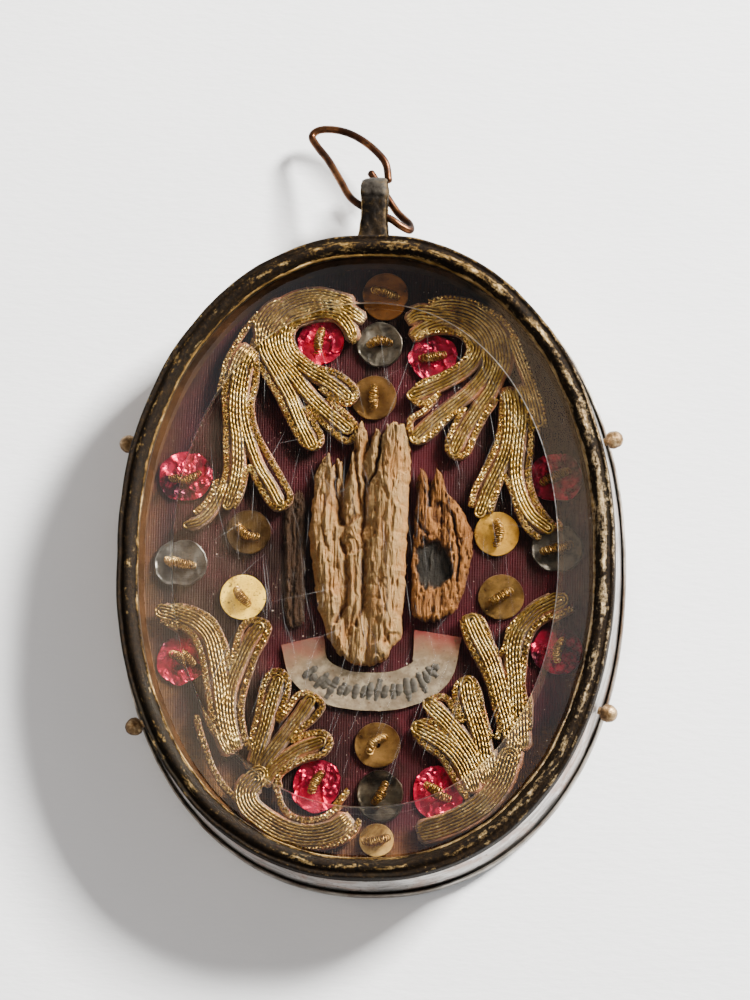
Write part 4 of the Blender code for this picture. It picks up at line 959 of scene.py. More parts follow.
# bones: edges and ridge lines in millimetres, cracks as (line, half width, depth)
bones = {
    "mainBone": {
        "node": "relic_main", "slot": "pale_bone", "foot": 5.45, "grid": (280, 345),
        "left": ((-10.4, -3.7), (-8.1, -4.8), (-5.3, -5.8), (-1.0, -6.4), (3.2, -6.95), (6.0, -6.75),
                 (10.5, -6.3), (12.4, -5.8)),
        "right": ((-10.4, 3.3), (-8.7, 3.95), (-2.9, 4.25), (4.2, 4.5), (11.2, 4.75), (16.4, 4.5)),
        "bottom": ((0.0, -10.4), (0.1, -11.1), (0.25, -11.8), (0.4, -12.15), (0.6, -12.3), (0.75, -12.0),
                   (0.86, -11.2), (0.93, -10.3), (1.0, -9.2)),
        "top": ((0.0, 10.6), (0.05, 12.2), (0.1, 12.7), (0.16, 11.2), (0.21, 12.2), (0.26, 11.7),
                (0.31, 8.6), (0.36, 12.6), (0.41, 15.4), (0.47, 16.1), (0.52, 15.6), (0.55, 13.4),
                (0.61, 15.2), (0.66, 15.8), (0.70, 14.8), (0.76, 16.0), (0.86, 16.5), (0.95, 16.0),
                (1.0, 14.0)),
        "ridges": (0.5, 1.5, 1.9, 1.1, 1.6, 1.9, 1.2, 1.8, 2.15, 2.35, 2.3, 1.3),
        "cracks": ((((-3.9, 11.6), (-3.9, 9.7), (-3.9, 7.6), (-3.3, 6.2)), 0.24, 1.1),
                   (((-2.9, 12.3), (-2.4, 10.4), (-3.2, 8.3), (-3.4, 5.9), (-3.0, 4.3)), 0.5, 1.2),
                   (((-1.7, 13.9), (-1.6, 11.1), (-1.2, 8.7), (-1.1, 5.4), (-2.7, 4.0), (-3.1, 2.1),
                     (-2.5, -0.2), (-2.3, -2.6), (-2.5, -5.4), (-3.6, -7.2)), 0.34, 0.9),
                   (((0.4, 15.1), (-0.7, 12.8), (-0.9, 10.4), (-0.3, 9.2), (-0.6, 7.3), (-0.5, 5.0),
                     (-0.9, 3.1), (-0.3, 1.0), (-0.5, -1.9), (-0.6, -5.4), (-1.3, -7.5)), 0.38, 0.95),
                   (((1.3, 14.9), (1.1, 12.5), (0.7, 10.4), (0.0, 9.0)), 0.2, 1.3),
                   (((1.8, 8.3), (2.9, 5.9), (2.5, 3.1), (1.6, 1.2)), 0.3, 0.35),
                   (((-5.2, 7.6), (-5.4, 4.0), (-4.6, 0.4), (-4.3, -4.6)), 0.22, 0.5),
                   (((-1.6, 0.3), (-1.3, -4.0), (-1.9, -8.6)), 0.3, 0.6)),
        # broken-off steps: middle, reach across and up, and how far they drop
        "steps": (((-2.0, 1.6), (1.0, 0.9), 0.5), ((0.3, 3.6), (0.8, 1.2), 0.4),
                  ((-4.6, -9.4), (1.2, 1.4), 0.4), ((2.9, -9.8), (1.4, 1.2), 0.45)),
        # grain across, up and its height; depths of threads and flaked layers, number of pits
        "fibre": (2.4, 0.22, 0.10), "thread": 0.15, "flake": 0.17, "pits": 420, "tint": "pale", "seed": 201,
    },
    "rightBone": {
        "node": "relic_right", "slot": "brown_bone", "foot": 5.93, "grid": (130, 210),
        "left": ((-6.4, 5.2), (-2.9, 4.95), (1.8, 5.15), (5.1, 5.25), (7.0, 5.5), (10.0, 5.4)),
        "right": ((-6.0, 10.3), (-2.9, 11.3), (0.4, 12.0), (3.2, 12.1), (6.0, 10.8), (8.4, 9.9)),
        "bottom": ((0.0, -6.2), (0.25, -7.2), (0.5, -7.0), (0.75, -6.6), (1.0, -5.6)),
        "top": ((0.0, 9.6), (0.08, 10.6), (0.17, 10.7), (0.3, 9.3), (0.38, 9.0), (0.5, 10.6),
                (0.58, 11.0), (0.7, 9.6), (0.85, 7.6), (1.0, 5.8)),
        "ridges": (0.45, 0.95, 1.05, 0.85, 1.15, 1.2, 1.0, 0.7),
        "cracks": ((((6.6, 10.6), (7.1, 8.4), (6.9, 6.4)), 0.24, 0.6),
                   (((9.6, 5.6), (10.2, 3.0), (10.6, 0.4), (10.4, -2.4)), 0.2, 0.6),
                   (((5.3, 5.4), (6.0, 4.2), (6.9, 3.0)), 0.22, 0.5)),
        "steps": (((7.6, -0.6), (2.1, 2.8), 1.0), ((8.2, 5.6), (1.0, 1.3), 0.25)),
        "fibre": (1.9, 0.3, 0.09), "thread": 0.16, "flake": 0.14, "pits": 260, "tint": "brown", "seed": 301,
    },
    "leftBone": {
        "node": "relic_left", "slot": "brown_bone", "foot": 5.45, "grid": (70, 200),
        "left": ((-7.5, -9.35), (-2.8, -9.7), (1.9, -9.8), (8.4, -9.95)),
        "right": ((-7.5, -7.35), (-4.0, -7.3), (0.7, -7.35), (8.4, -7.5)),
        "bottom": ((0.0, -7.2), (0.3, -7.9), (0.6, -7.6), (1.0, -7.0)),
        "top": ((0.0, 6.8), (0.25, 8.4), (0.45, 8.0), (0.7, 8.5), (1.0, 7.2)),
        "ridges": (0.14, 0.36, 0.22, 0.38, 0.26, 0.3, 0.14),
        "cracks": ((((-8.6, 7.0), (-8.4, 1.0), (-8.7, -5.0)), 0.16, 0.2),),
        "steps": (), "fibre": (2.6, 0.2, 0.04), "thread": 0.06, "flake": 0.03, "pits": 40,
        "tint": "dark", "seed": 401,
    },
}
hollowFrom = 0.8  # a step deeper than this is shaded as a hollow
boneTints = {
    # deep, middle and high colours, the rust colour and how much of it; the deep colour is painted shade in
    # the low places
    "pale": ((0.058, 0.027, 0.011), (0.172, 0.092, 0.035), (0.128, 0.083, 0.038),
             (0.125, 0.046, 0.010), 0.5),
    "brown": ((0.004, 0.0015, 0.0005), (0.036, 0.0125, 0.003), (0.115, 0.050, 0.014),
              (0.030, 0.008, 0.0015), 0.6),
    "dark": ((0.0006, 0.0003, 0.0001), (0.0042, 0.0017, 0.0006), (0.018, 0.0085, 0.0038),
             (0.0045, 0.0014, 0.0004), 0.5),
}


def boneLook(name, tint):
    deep, middle, high, rust, amount = boneTints[tint]
    look = newLook(name, 0.75, Specular_IOR_Level=0.1)
    fibre = grain(look, 2.2, 6.0, 0.65, where=spot(look, (1.5, 0.3, 1)))
    fleck = grain(look, 0.42, 5.0, 0.6, where=spot(look, (1.3, 0.55, 1)))
    crumb = grain(look, 2.6, 5.0, 0.7)
    level = plus(look, plus(look, pointValue(look, "level"), fibre, 0.5), crumb, 0.3)
    colour = ramp(look, level, ((0.42, deep), (0.74, middle), (1.0, high)))
    colour = patches(look, colour, fleck, 0.48, 0.66, amount, rust)
    pores = sums(look, "MULTIPLY", pinholes(look, 1.6, 0.16), ramp(look, fleck, ((0.3, 0.3), (0.6, 1.0))))
    colour = mixColours(look, pores, colour, (0.022, 0.010, 0.005))
    shadowed = ramp(look, fibre, ((0.35, (0.002, 0.002, 0.0022)), (0.65, (0.015, 0.014, 0.013))))
    colour = mixColours(look, pointValue(look, "hollow"), colour, shadowed)
    return wear(look, colour, height=plus(look, fibre, crumb, 0.7), depth=0.2)


def softened(values, reach):
    # the mean of the neighbours within reach, both ways
    for axis in (0, 1):
        wide = np.pad(values, [(reach + 1, reach) if k == axis else (0, 0) for k in (0, 1)], mode="edge")
        total = np.cumsum(wide, axis)
        size = values.shape[axis]
        after, before = np.arange(size) + 2 * reach + 1, np.arange(size)
        values = (np.take(total, after, axis) - np.take(total, before, axis)) / (2 * reach + 1)
    return values


def distanceTo(line, x, y):
    # how far each point is from a broken line
    best, line = np.full(x.shape, 1e9), np.array(line)
    for a, b in zip(line, line[1:]):
        span = b - a
        share = np.clip(((x - a[0]) * span[0] + (y - a[1]) * span[1]) / (span @ span), 0, 1)
        best = np.minimum(best, np.hypot(x - a[0] - share * span[0], y - a[1] - share * span[1]))
    return best


def makeBone(name, spec):
    columns, rows = spec["grid"]
    seed = spec["seed"]
    u, v = np.meshgrid(np.linspace(0, 1, columns), np.linspace(0, 1, rows))
    bottom, top = (np.interp(u, *np.array(spec[side]).T) for side in ("bottom", "top"))
    top = top + 0.45 * layeredNoise(u * 19, 0.5, seed, 3)
    bottom = bottom + 0.25 * layeredNoise(u * 15, 0.5, seed + 5, 3)
    y = bottom + (top - bottom) * v
    left, right = (np.interp(y, *np.array(spec[side]).T) for side in ("left", "right"))
    ragged = 0.16 * layeredNoise(y * 0.9, 3.5, seed + 9, 4)
    x = left + ragged + (right - left + 0.13 * layeredNoise(y * 1.1, 8.5, seed + 13, 4) - ragged) * u
    x = x + 0.05 * layeredNoise(x * 1.3, y * 0.6, seed + 17) * np.sin(math.pi * u)
    ridges = np.interp(u + 0.035 * layeredNoise(u * 3, y * 0.16, seed + 21), np.linspace(
        0, 1, len(spec["ridges"])), spec["ridges"])
    across, up, strength = spec["fibre"]
    height = ridges * (1 + 0.16 * layeredNoise(x * 0.7, y * 0.22, seed + 25))
    height = height + strength * layeredNoise(x * across, y * up, seed + 29, 4)
    # fine threads, flaked layers and pits
    wander = 0.5 * softNoise(x * 0.5, y * 0.3, seed + 43)
    height = height - spec["thread"] * np.abs(layeredNoise(x * 3.1 + wander, y * 0.34, seed + 45, 3))
    layer = 2.6 * layeredNoise(x * 0.42, y * 0.13, seed + 47, 3)
    flake = np.floor(layer) + np.clip((layer - np.floor(layer)) / 0.16, 0, 1)
    height = height + spec["flake"] * (flake - layer)
    cut = np.zeros_like(height)
    chance = np.random.default_rng(seed + 49)
    for _ in range(spec["pits"]):
        pitX, pitY = chance.uniform(x.min(), x.max()), chance.uniform(y.min(), y.max())
        wide, deep = chance.uniform(0.07, 0.24), chance.uniform(0.1, 0.38)
        near = (np.abs(x - pitX) < 3 * wide) & (np.abs(y - pitY) < 8 * wide)
        hole = np.hypot((x[near] - pitX) / wide, (y[near] - pitY) / (wide * 2.3))
        cut[near] = np.maximum(cut[near], deep * np.exp(-hole**2))
    for line, half, depth in spec["cracks"]:
        away = distanceTo(line, x + 0.12 * layeredNoise(x, y * 1.4, seed + 33), y)
        cut = np.maximum(cut, depth * np.exp(-(away / half) ** 2))
    hollow = np.zeros_like(height)
    for (stepX, stepY), (wide, tall), depth in spec["steps"]:
        inside = np.hypot((x - stepX) / wide, (y - stepY) / tall)
        inside = inside + 0.25 * layeredNoise(x * 1.1, y * 0.8, seed + 37)
        sunk = 1 / (1 + np.exp((inside - 1) * 14))
        cut = cut + depth * sunk
        if depth > hollowFrom:
            hollow = sunk
    height = height - cut
    rim = np.minimum.reduce((u * (right - left), (1 - u) * (right - left), (y - bottom), (top - y)))
    height = np.maximum(height * (0.42 + 0.58 * np.clip(rim / 0.45, 0, 1) ** 0.6), 0.06)
    shape = Body()
    grid = np.stack((x, y, spec["foot"] + height), -1)
    shape.sheet(grid, False, np.arange(rows) / rows, np.arange(columns) / columns)
    numbers = np.arange(rows * columns).reshape(rows, columns)
    border = np.r_[numbers[0, :-1], numbers[:-1, -1], numbers[-1, :0:-1], numbers[:0:-1, 0]]
    edge = grid.reshape(-1, 3)[border]
    under = edge.copy()
    under[:, 2] = spec["foot"]
    first = shape.sheet(np.array((under, edge)), True)
    shape.cap(range(first + len(border) - 1, first - 1, -1))
    piece = shape.finish(name, [boneLook(name + "Look", spec["tint"])], sharp=70)
    # painted shade: low places and the side walls are darker than their neighbours
    level = 0.5 + 0.75 * (height - softened(height, 7)) + 0.4 * (height - softened(height, 22)) - 0.12 * cut
    walls = np.full(2 * len(border), 0.25)
    paint(piece, "level", np.r_[np.clip(level, 0, 0.8).ravel(), walls])
    paint(piece, "hollow", np.r_[hollow.ravel(), walls * 0])
    settle(piece, spec["slot"], spec["node"])


# paper label: its middle line, half widths, and rows of pen strokes that spell nothing
label = {
    "run": ((-7.5, -9.2), (-6.6, -12.6), (-3.6, -14.6), (0.2, -15.2), (4.2, -14.8), (7.4, -12.8),
            (8.2, -8.4)),
    "halfWidths": (2.5, 2.2, 2.75), "foot": 5.46, "thick": 0.1, "curl": 0.11, "lanes": 25,
    "penWidth": 0.46, "penStretch": 1.4, "penHeight": 0.02,
    # along the label, across it, length and lean of each stroke
    "strokes": (
        (0.165, 0.15, 1.5, 1.50), (0.192, 0.35, 0.8, 1.10), (0.236, 0.05, 1.7, 1.35),
        (0.262, 0.20, 1.0, 1.25), (0.300, 0.30, 2.1, 1.45), (0.345, 0.05, 1.2, 1.30),
        (0.372, 0.10, 1.0, 1.20), (0.415, 0.05, 1.3, 1.45), (0.455, 0.05, 1.1, 1.25),
        (0.482, -0.10, 1.5, 1.40), (0.522, -0.25, 1.9, 1.35), (0.560, 0.05, 1.1, 1.2),
        (0.602, 0.10, 1.3, 1.45), (0.630, 0.05, 1.0, 1.25), (0.668, 0.35, 2.0, 1.40),
        (0.705, 0.10, 1.2, 1.3), (0.745, 0.30, 1.9, 1.45), (0.780, 0.05, 1.1, 1.25),
        (0.812, 0.15, 1.3, 1.40), (0.842, 0.3, 0.7, 1.2),
    ),
}


def makeLabel():
    look = newLook("labelPaper", 0.85, Specular_IOR_Level=0.15)
    fibre = grain(look, 0.9, 6.0, 0.65)
    edge = grain(look, 0.5, 4.0)
    colour = ramp(look, fibre, ((0.3, (0.045, 0.035, 0.023)), (0.5, (0.105, 0.088, 0.066)),
                                 (0.72, (0.175, 0.155, 0.126))))
    # the ends are browned, and red from the silk that bled into them
    ends = plus(look, sums(look, "MULTIPLY", pointValue(look, "ends"), 0.6), edge, 0.4)
    colour = patches(look, colour, ends, 0.2, 0.5, 0.8, (0.080, 0.050, 0.027))
    colour = patches(look, colour, ends, 0.44, 0.75, 0.85, (0.085, 0.008, 0.011))
    colour = patches(look, colour, grain(look, 0.35, 6.0, 0.65), 0.44, 0.64, 0.7, (0.052, 0.040, 0.029))
    colour = mixColours(look, pinholes(look, 1.25, 0.17), colour, (0.05, 0.03, 0.02))
    wear(look, colour, height=fibre, depth=0.06)
    ink = newLook("fadedInk", 0.7)
    patchy = grain(ink, 1.6, 4.0)
    wear(ink, ramp(ink, patchy, ((0.35, (0.003, 0.0021, 0.0013)), (0.7, (0.013, 0.0098, 0.0068)))))
    flat, marks = evenRun(smoothRun(label["run"]), 0.16)
    share = marks / marks[-1]
    first, middle, last = label["halfWidths"]
    half = middle + np.where(share > 0.5, last - middle, first - middle) * (2 * share - 1) ** 2
    half = half * (1 + 0.025 * layeredNoise(marks * 0.5, 2.5, 71))
    side = sideOf(flat)
    lanes = np.linspace(-1, 1, label["lanes"])
    foot, thick = label["foot"], label["thick"]

    def paperAt(k, lane):
        lift = label["curl"] * abs(lane) ** 3 * (0.6 + 0.4 * np.sin(marks[k] * 1.3))
        return (*(flat[k] + side[k] * half[k] * lane), foot + thick + lift)

    over = np.array([[paperAt(k, lane) for lane in lanes] for k in range(len(flat))])
    over[..., 2] += 0.02 * (1 + layeredNoise(over[..., 0] * 0.8, over[..., 1] * 0.8, 77))
    under = over.copy()[:, ::-1]
    under[..., 2] -= thick * 0.8
    shape = Body()
    shape.sheet(np.concatenate((over, under), 1), True, marks, caps=True)
    paperPoints = len(flat) * len(lanes) * 2
    for along, across, length, lean in label["strokes"]:
        length = length * label["penStretch"]
        k = int(along * (len(flat) - 1))
        ahead = np.array((-side[k][1], side[k][0]))
        middle = flat[k] + side[k] * across * 0.9
        step = (-side[k] * math.sin(lean) + ahead * math.cos(lean)) * length / 2
        run, reach = evenRun(np.array((middle - step, middle + step)), 0.09)
        level = foot + thick + 0.035 + label["penHeight"]
        swell = label["penWidth"] * (0.45 + 0.55 * np.sin(np.linspace(0.25, math.pi - 0.2, len(run))))
        swell = swell * (1 + 0.3 * softNoise(reach * 4, along * 90, 5))
        turned = sideOf(run)
        section = [np.column_stack((run + turned * (swell * out)[:, None], np.full(len(run), level + rise)))
                   for out, rise in ((-1, -0.05), (-0.8, 0.015), (0.8, 0.015), (1, -0.05))]
        shape.sheet(np.array(section).transpose(1, 0, 2), True, reach, look=1, caps=True)
    piece = shape.finish("paperLabel", [look, ink], sharp=60)
    ends = np.zeros(len(piece.data.vertices))
    ends[:paperPoints] = np.repeat(np.clip(1 - np.minimum(share, 1 - share) / 0.17, 0, 1), len(lanes) * 2)
    paint(piece, "ends", ends)
    settle(piece, "label_paper", "label")


# discs and foils, each sewn down with a short coil, in millimetres
spangleLevel = {
    "foot": 5.45, "thick": 0.22, "dish": 0.08, "hole": 0.34, "sides": 72, "roughness": 0.34,
    "foilHeight": 0.32, "foilSides": 54, "foilRings": 17,
}
goldSequins = (
    # x, y, radius, deep colour, bright colour, dirt, metal share; the colours are partly each disc's own
    # tone and partly a painted reflection of how much light each disc catches
    (1.4, 31.2, 2.6, (0.05, 0.018, 0.004), (0.16, 0.065, 0.015), 0.35, 0.8),
    (0.3, 19.4, 2.65, (0.060, 0.028, 0.008), (0.18, 0.098, 0.030), 0.4, 0.9),
    (-14.0, 3.5, 2.6, (0.026, 0.014, 0.0045), (0.100, 0.060, 0.022), 0.5, 0.9),
    # painted glint: this disc's bright yellow and low metal share stand in for the light it catches
    (-14.5, -4.2, 2.65, (0.52, 0.34, 0.035), (1.0, 0.70, 0.085), 1.0, 0.4),
    (14.8, 3.3, 2.6, (0.20, 0.10, 0.014), (0.58, 0.34, 0.05), 0.3, 0.75),
    (15.4, -4.1, 2.65, (0.07, 0.038, 0.011), (0.25, 0.15, 0.045), 0.5, 0.9),
    (1.4, -21.4, 2.65, (0.075, 0.036, 0.009), (0.235, 0.135, 0.042), 0.4, 0.9),
    (1.4, -31.8, 1.95, (0.16, 0.085, 0.020), (0.62, 0.42, 0.14), 0.35, 0.85),
)
silverSequins = (
    # the silver discs' colours are likewise partly their own tarnish and partly a painted reflection of the
    # light each catches
    (0.9, 25.7, 2.7, (0.016, 0.014, 0.012), (0.13, 0.12, 0.105), 0.5, 0.9),
    (-21.5, -0.2, 2.8, (0.022, 0.022, 0.023), (0.12, 0.12, 0.12), 0.6, 0.9),
    (21.4, 1.6, 2.7, (0.020, 0.018, 0.016), (0.09, 0.084, 0.078), 0.5, 0.9),
    (1.8, -27.0, 2.7, (0.009, 0.007, 0.005), (0.085, 0.072, 0.055), 0.5, 0.9),
)
redFoils = (
    # x, y, radius, how much of it has faded from crimson to dull purple
    (-6.1, 26.1, 2.7, 0.3), (7.1, 24.2, 2.75, 0.3), (-21.2, 10.0, 2.8, 0.65), (-21.0, -11.4, 2.75, 0.5),
    (21.2, 9.9, 2.75, 1.0), (21.6, -10.2, 2.6, 0.95), (-5.5, -25.8, 2.75, 0.3), (8.3, -26.6, 2.75, 0.25),
)
# which way each coil points, in degrees: gold discs, silver discs, then foils
coilTurns = (-20, 90, -30, -50, 90, 30, 45, 10, 5, -15, 20, 60, 80, 10, 15, -35, 30, 75, 60, -25)
coilShape = {"length": 2.6, "radius": 0.49, "wire": 0.082, "turns": 13.5, "ends": 5.9, "crest": 6.5,
             "lowest": 5.72, "tones": ((0.06, 0.028, 0.008), (0.26, 0.145, 0.038), (0.75, 0.52, 0.2), 0.26)}


def spangleLook(name, deep, bright, dirt, metallic, roughness):
    look = newLook(name, roughness, metallic)
    cloud = grain(look, 0.42, 5.0, 0.6, distortion=0.4)
    fine = grain(look, 2.6, 3.0)
    scratch = grain(look, 1.4, 2.0, where=spot(look, (0.25, 4, 1), 0.7))
    colour = ramp(look, cloud, ((0.34, deep), (0.62, bright)))
    dirty = ramp(look, cloud, ((0.35, dirt), (0.7, 0.3 + 0.5 * dirt**2)))
    spots = sums(look, "MULTIPLY", pinholes(look, 1.1 + 1.3 * dirt**2, 0.2), dirty)
    colour = mixColours(look, spots, colour, (0.03, 0.015, 0.008))
    stain = sums(look, "MULTIPLY", ramp(look, fine, ((0.28, 1.0), (0.42, 0.0))), dirt)
    colour = mixColours(look, stain, colour, (0.05, 0.03, 0.02))
    rough = ramp(look, plus(look, sums(look, "MULTIPLY", cloud, 0.7), spots, 0.3),
                 ((0.2, roughness - 0.08), (0.7, roughness + 0.2)))
    return wear(look, colour, rough, height=plus(look, cloud, scratch, 0.4), depth=0.05)


def makeSpangle(name, node, slotName, x, y, radius, look, seed, rim, crumple):
    turns = np.arange(spangleLevel["sides"]) * fullTurn / spangleLevel["sides"]
    foot, thick, hole = (spangleLevel[key] for key in ("foot", "thick", "hole"))
    shares = np.r_[np.linspace(hole, radius * 0.88, 12), radius * np.array((0.92, 0.96, 0.985, 1.0))]
    rows = []
    for reach in shares:
        share = reach / radius
        level = foot + thick - spangleLevel["dish"] * (1 - share**2)
        level += rim * math.exp(-((share - 0.95) / 0.035) ** 2)
        rows.append((reach, level - (0.05 if share > 0.99 else 0.0)))
    rows += [(radius * 0.995, foot + 0.05), (radius * 0.97, foot + 0.01), (hole, foot + 0.01)]
    grid = np.array([np.column_stack((x + reach * np.cos(turns), y + reach * np.sin(turns),
                                      np.full(len(turns), level))) for reach, level in rows])
    bump = layeredNoise(grid[..., 0] * 0.5 + seed, grid[..., 1] * 0.5, seed, 3)
    across, up = np.cos(turns), np.sin(turns)
    edge = 1 + 0.008 * layeredNoise(2 * across + seed, 2 * up, seed + 3)
    edge -= crumple * 0.05 * np.abs(layeredNoise(1.6 * across + seed, 1.6 * up, seed + 5))
    grid[..., 0] = x + (grid[..., 0] - x) * edge
    grid[..., 1] = y + (grid[..., 1] - y) * edge
    folds = 1 - 1.5 * np.abs(layeredNoise(grid[..., 0] * 0.42 + seed, grid[..., 1] * 0.42, seed + 7, 3))
    grid[: len(shares), :, 2] += crumple * 0.16 * np.clip(folds[: len(shares)], -0.4, 1)
    grid[..., 2] += 0.025 * bump
    shape = Body()
    shape.sheet(np.concatenate((grid, grid[:1])), True, np.arange(len(rows) + 1) * 0.3)
    return settle(shape.finish(name, [look], sharp=45), slotName, node)


def makeSequins():
    for kind, slotName, sequins, rim, crumple in (
            ("gold", "gold_spangle", goldSequins, 0.015, 0.12),
            ("silver", "tarnished_spangle", silverSequins, 0.07, 1.0)):
        for k, (x, y, radius, deep, bright, dirt, metal) in enumerate(sequins, 1):
            look = spangleLook(f"{kind}Spangle{k}", deep, bright, dirt, metal, spangleLevel["roughness"])
            makeSpangle(f"{kind}Sequin{k}", f"{kind}_sequin_{k}", slotName, x, y, radius, look, 10 * k,
                        rim, crumple)
    print("sequins:", len(goldSequins) + len(silverSequins))


def makeFoils():
    for k, (x, y, radius, faded) in enumerate(redFoils, 1):
        look = newLook(f"redFoil{k}", 0.3, 0.9)
        cloud = grain(look, 0.5, 5.0, 0.6)
        fresh = ramp(look, cloud, ((0.3, (0.16, 0.002, 0.016)), (0.48, (0.78, 0.008, 0.075)),
                                  (0.66, (1.0, 0.055, 0.17))))
        dull = ramp(look, cloud, ((0.3, (0.012, 0.0018, 0.005)), (0.6, (0.055, 0.005, 0.017)),
                                 (0.75, (0.14, 0.04, 0.055))))
        share = ramp(look, grain(look, 0.42, 4.0),
                     ((0.40, min(1.0, faded * 0.7)), (0.56, min(1.0, 0.35 + faded * 1.4))))
        wear(look, mixColours(look, share, fresh, dull), ramp(look, cloud, ((0.3, 0.42), (0.7, 0.24))),
             height=grain(look, 1.6, 4.0), depth=0.03)
        turns = np.arange(spangleLevel["foilSides"]) * fullTurn / spangleLevel["foilSides"]
        rings = np.linspace(0.04, 1.0, spangleLevel["foilRings"])
        ragged = softNoise(2.2 * np.cos(turns), 2.2 * np.sin(turns) + k, 60 + k)
        reach = radius * rings[:, None] * (1 + 0.06 * ragged)
        flatX, flatY = x + reach * np.cos(turns), y + reach * np.sin(turns)
        creases = 1 - np.abs(layeredNoise(flatX * 0.75, flatY * 0.75, 80 + k, 3)) * 1.6
        foot, tall = spangleLevel["foot"], spangleLevel["foilHeight"]
        level = foot + 0.06 + tall * np.clip(creases, 0, 1) ** 1.5
        over = np.stack((flatX, flatY, level), -1)
        under = over[::-1].copy()
        under[..., 2] = foot
        shape = Body()
        first = shape.sheet(np.concatenate((over, under)), True)
        shape.lids(first, len(turns), 2 * len(rings))
        settle(shape.finish(f"redFoil{k}", [look], smooth=False), "red_foil", f"red_foil_{k}")
    print("foils:", len(redFoils))


def makeCoils():
    look = giltLook("giltCoil", *coilShape["tones"])
    places = [spangle[:2] for spangle in goldSequins + silverSequins + redFoils]
    for k, ((x, y), turned) in enumerate(zip(places, coilTurns), 1):
        chance = np.random.default_rng(500 + k)
        length, turns = coilShape["length"] * chance.uniform(0.9, 1.1), coilShape["turns"]
        share = np.linspace(0, 1, int(turns * 12))
        bow = np.sin(math.pi * share)
        lean = math.radians(turned)
        ahead = np.array((math.cos(lean), math.sin(lean)))
        side = np.array((-ahead[1], ahead[0]))
        sway = 0.3 * chance.normal() * bow
        level = coilShape["ends"] + (coilShape["crest"] - coilShape["ends"]) * bow ** 0.7
        reach = coilShape["radius"] * (0.75 + 0.3 * bow) * (1 + 0.1 * np.sin(share * 40 + k))
        spin = share * turns * fullTurn
        slope = np.gradient(level, share * length)
        out, rise = reach * np.cos(spin), reach * np.sin(spin)
        along = (share - 0.5) * length - rise * slope / np.hypot(1, slope)
        run = np.column_stack((x + ahead[0] * along + side[0] * (out + sway),
                               y + ahead[1] * along + side[1] * (out + sway),
                               np.maximum(level + rise / np.hypot(1, slope), coilShape["lowest"])))
        shape = Body()
        marks = share * turns * fullTurn * coilShape["radius"]
        shape.tube(run, marks, coilShape["wire"], 6)
        settle(shape.finish(f"giltCoil{k:02d}", [look]), "gilt_wire", f"gilt_coil_{k:02d}")
    print("coils:", len(places))


# the hanger: a strip folded into an eye, and the bent wire through it
hanger = {
    "level": 6.3, "foot": 37.7, "head": 45.92, "half": 1.6, "thick": 0.65, "lanes": 29,
    "halfHeight": 1.55, "footHeight": 1.96, "flareBelow": 38.9, "lapAt": 43.5, "greyAbove": 42.9,
    # how the half width changes with the height
    "waist": ((37.7, 1.42), (38.3, 1.2), (39.0, 1.04), (40.6, 0.95), (42.6, 0.93), (43.7, 1.0),
              (45.2, 1.0), (46.0, 0.93)),
    "plug": 40.12, "plugRows": 6,  # what fills the foot of the folded strip
    "wireRadius": 0.455, "wireSides": 18,
    "wire": ((-0.9, 47.3, 3.95), (0.9, 44.6, 3.95), (2.5, 42.2, 4.1), (3.9, 40.7, 4.7), (4.1, 39.7, 5.5),
             (3.0, 40.1, 6.1), (1.8, 40.9, 6.3), (-0.9, 42.1, 6.3), (-2.9, 43.6, 5.7), (-4.3, 46.0, 4.9),
             (-5.8, 48.6, 4.0), (-7.2, 50.5, 3.2), (-7.9, 51.8, 2.8), (-7.2, 52.6, 2.7), (-5.6, 52.7, 2.8),
             (-3.6, 52.2, 3.0), (-1.7, 51.1, 3.3), (0.0, 49.6, 3.5), (1.0, 48.2, 3.6), (1.3, 46.4, 3.6),
             (1.35, 45.9, 3.6)),
}


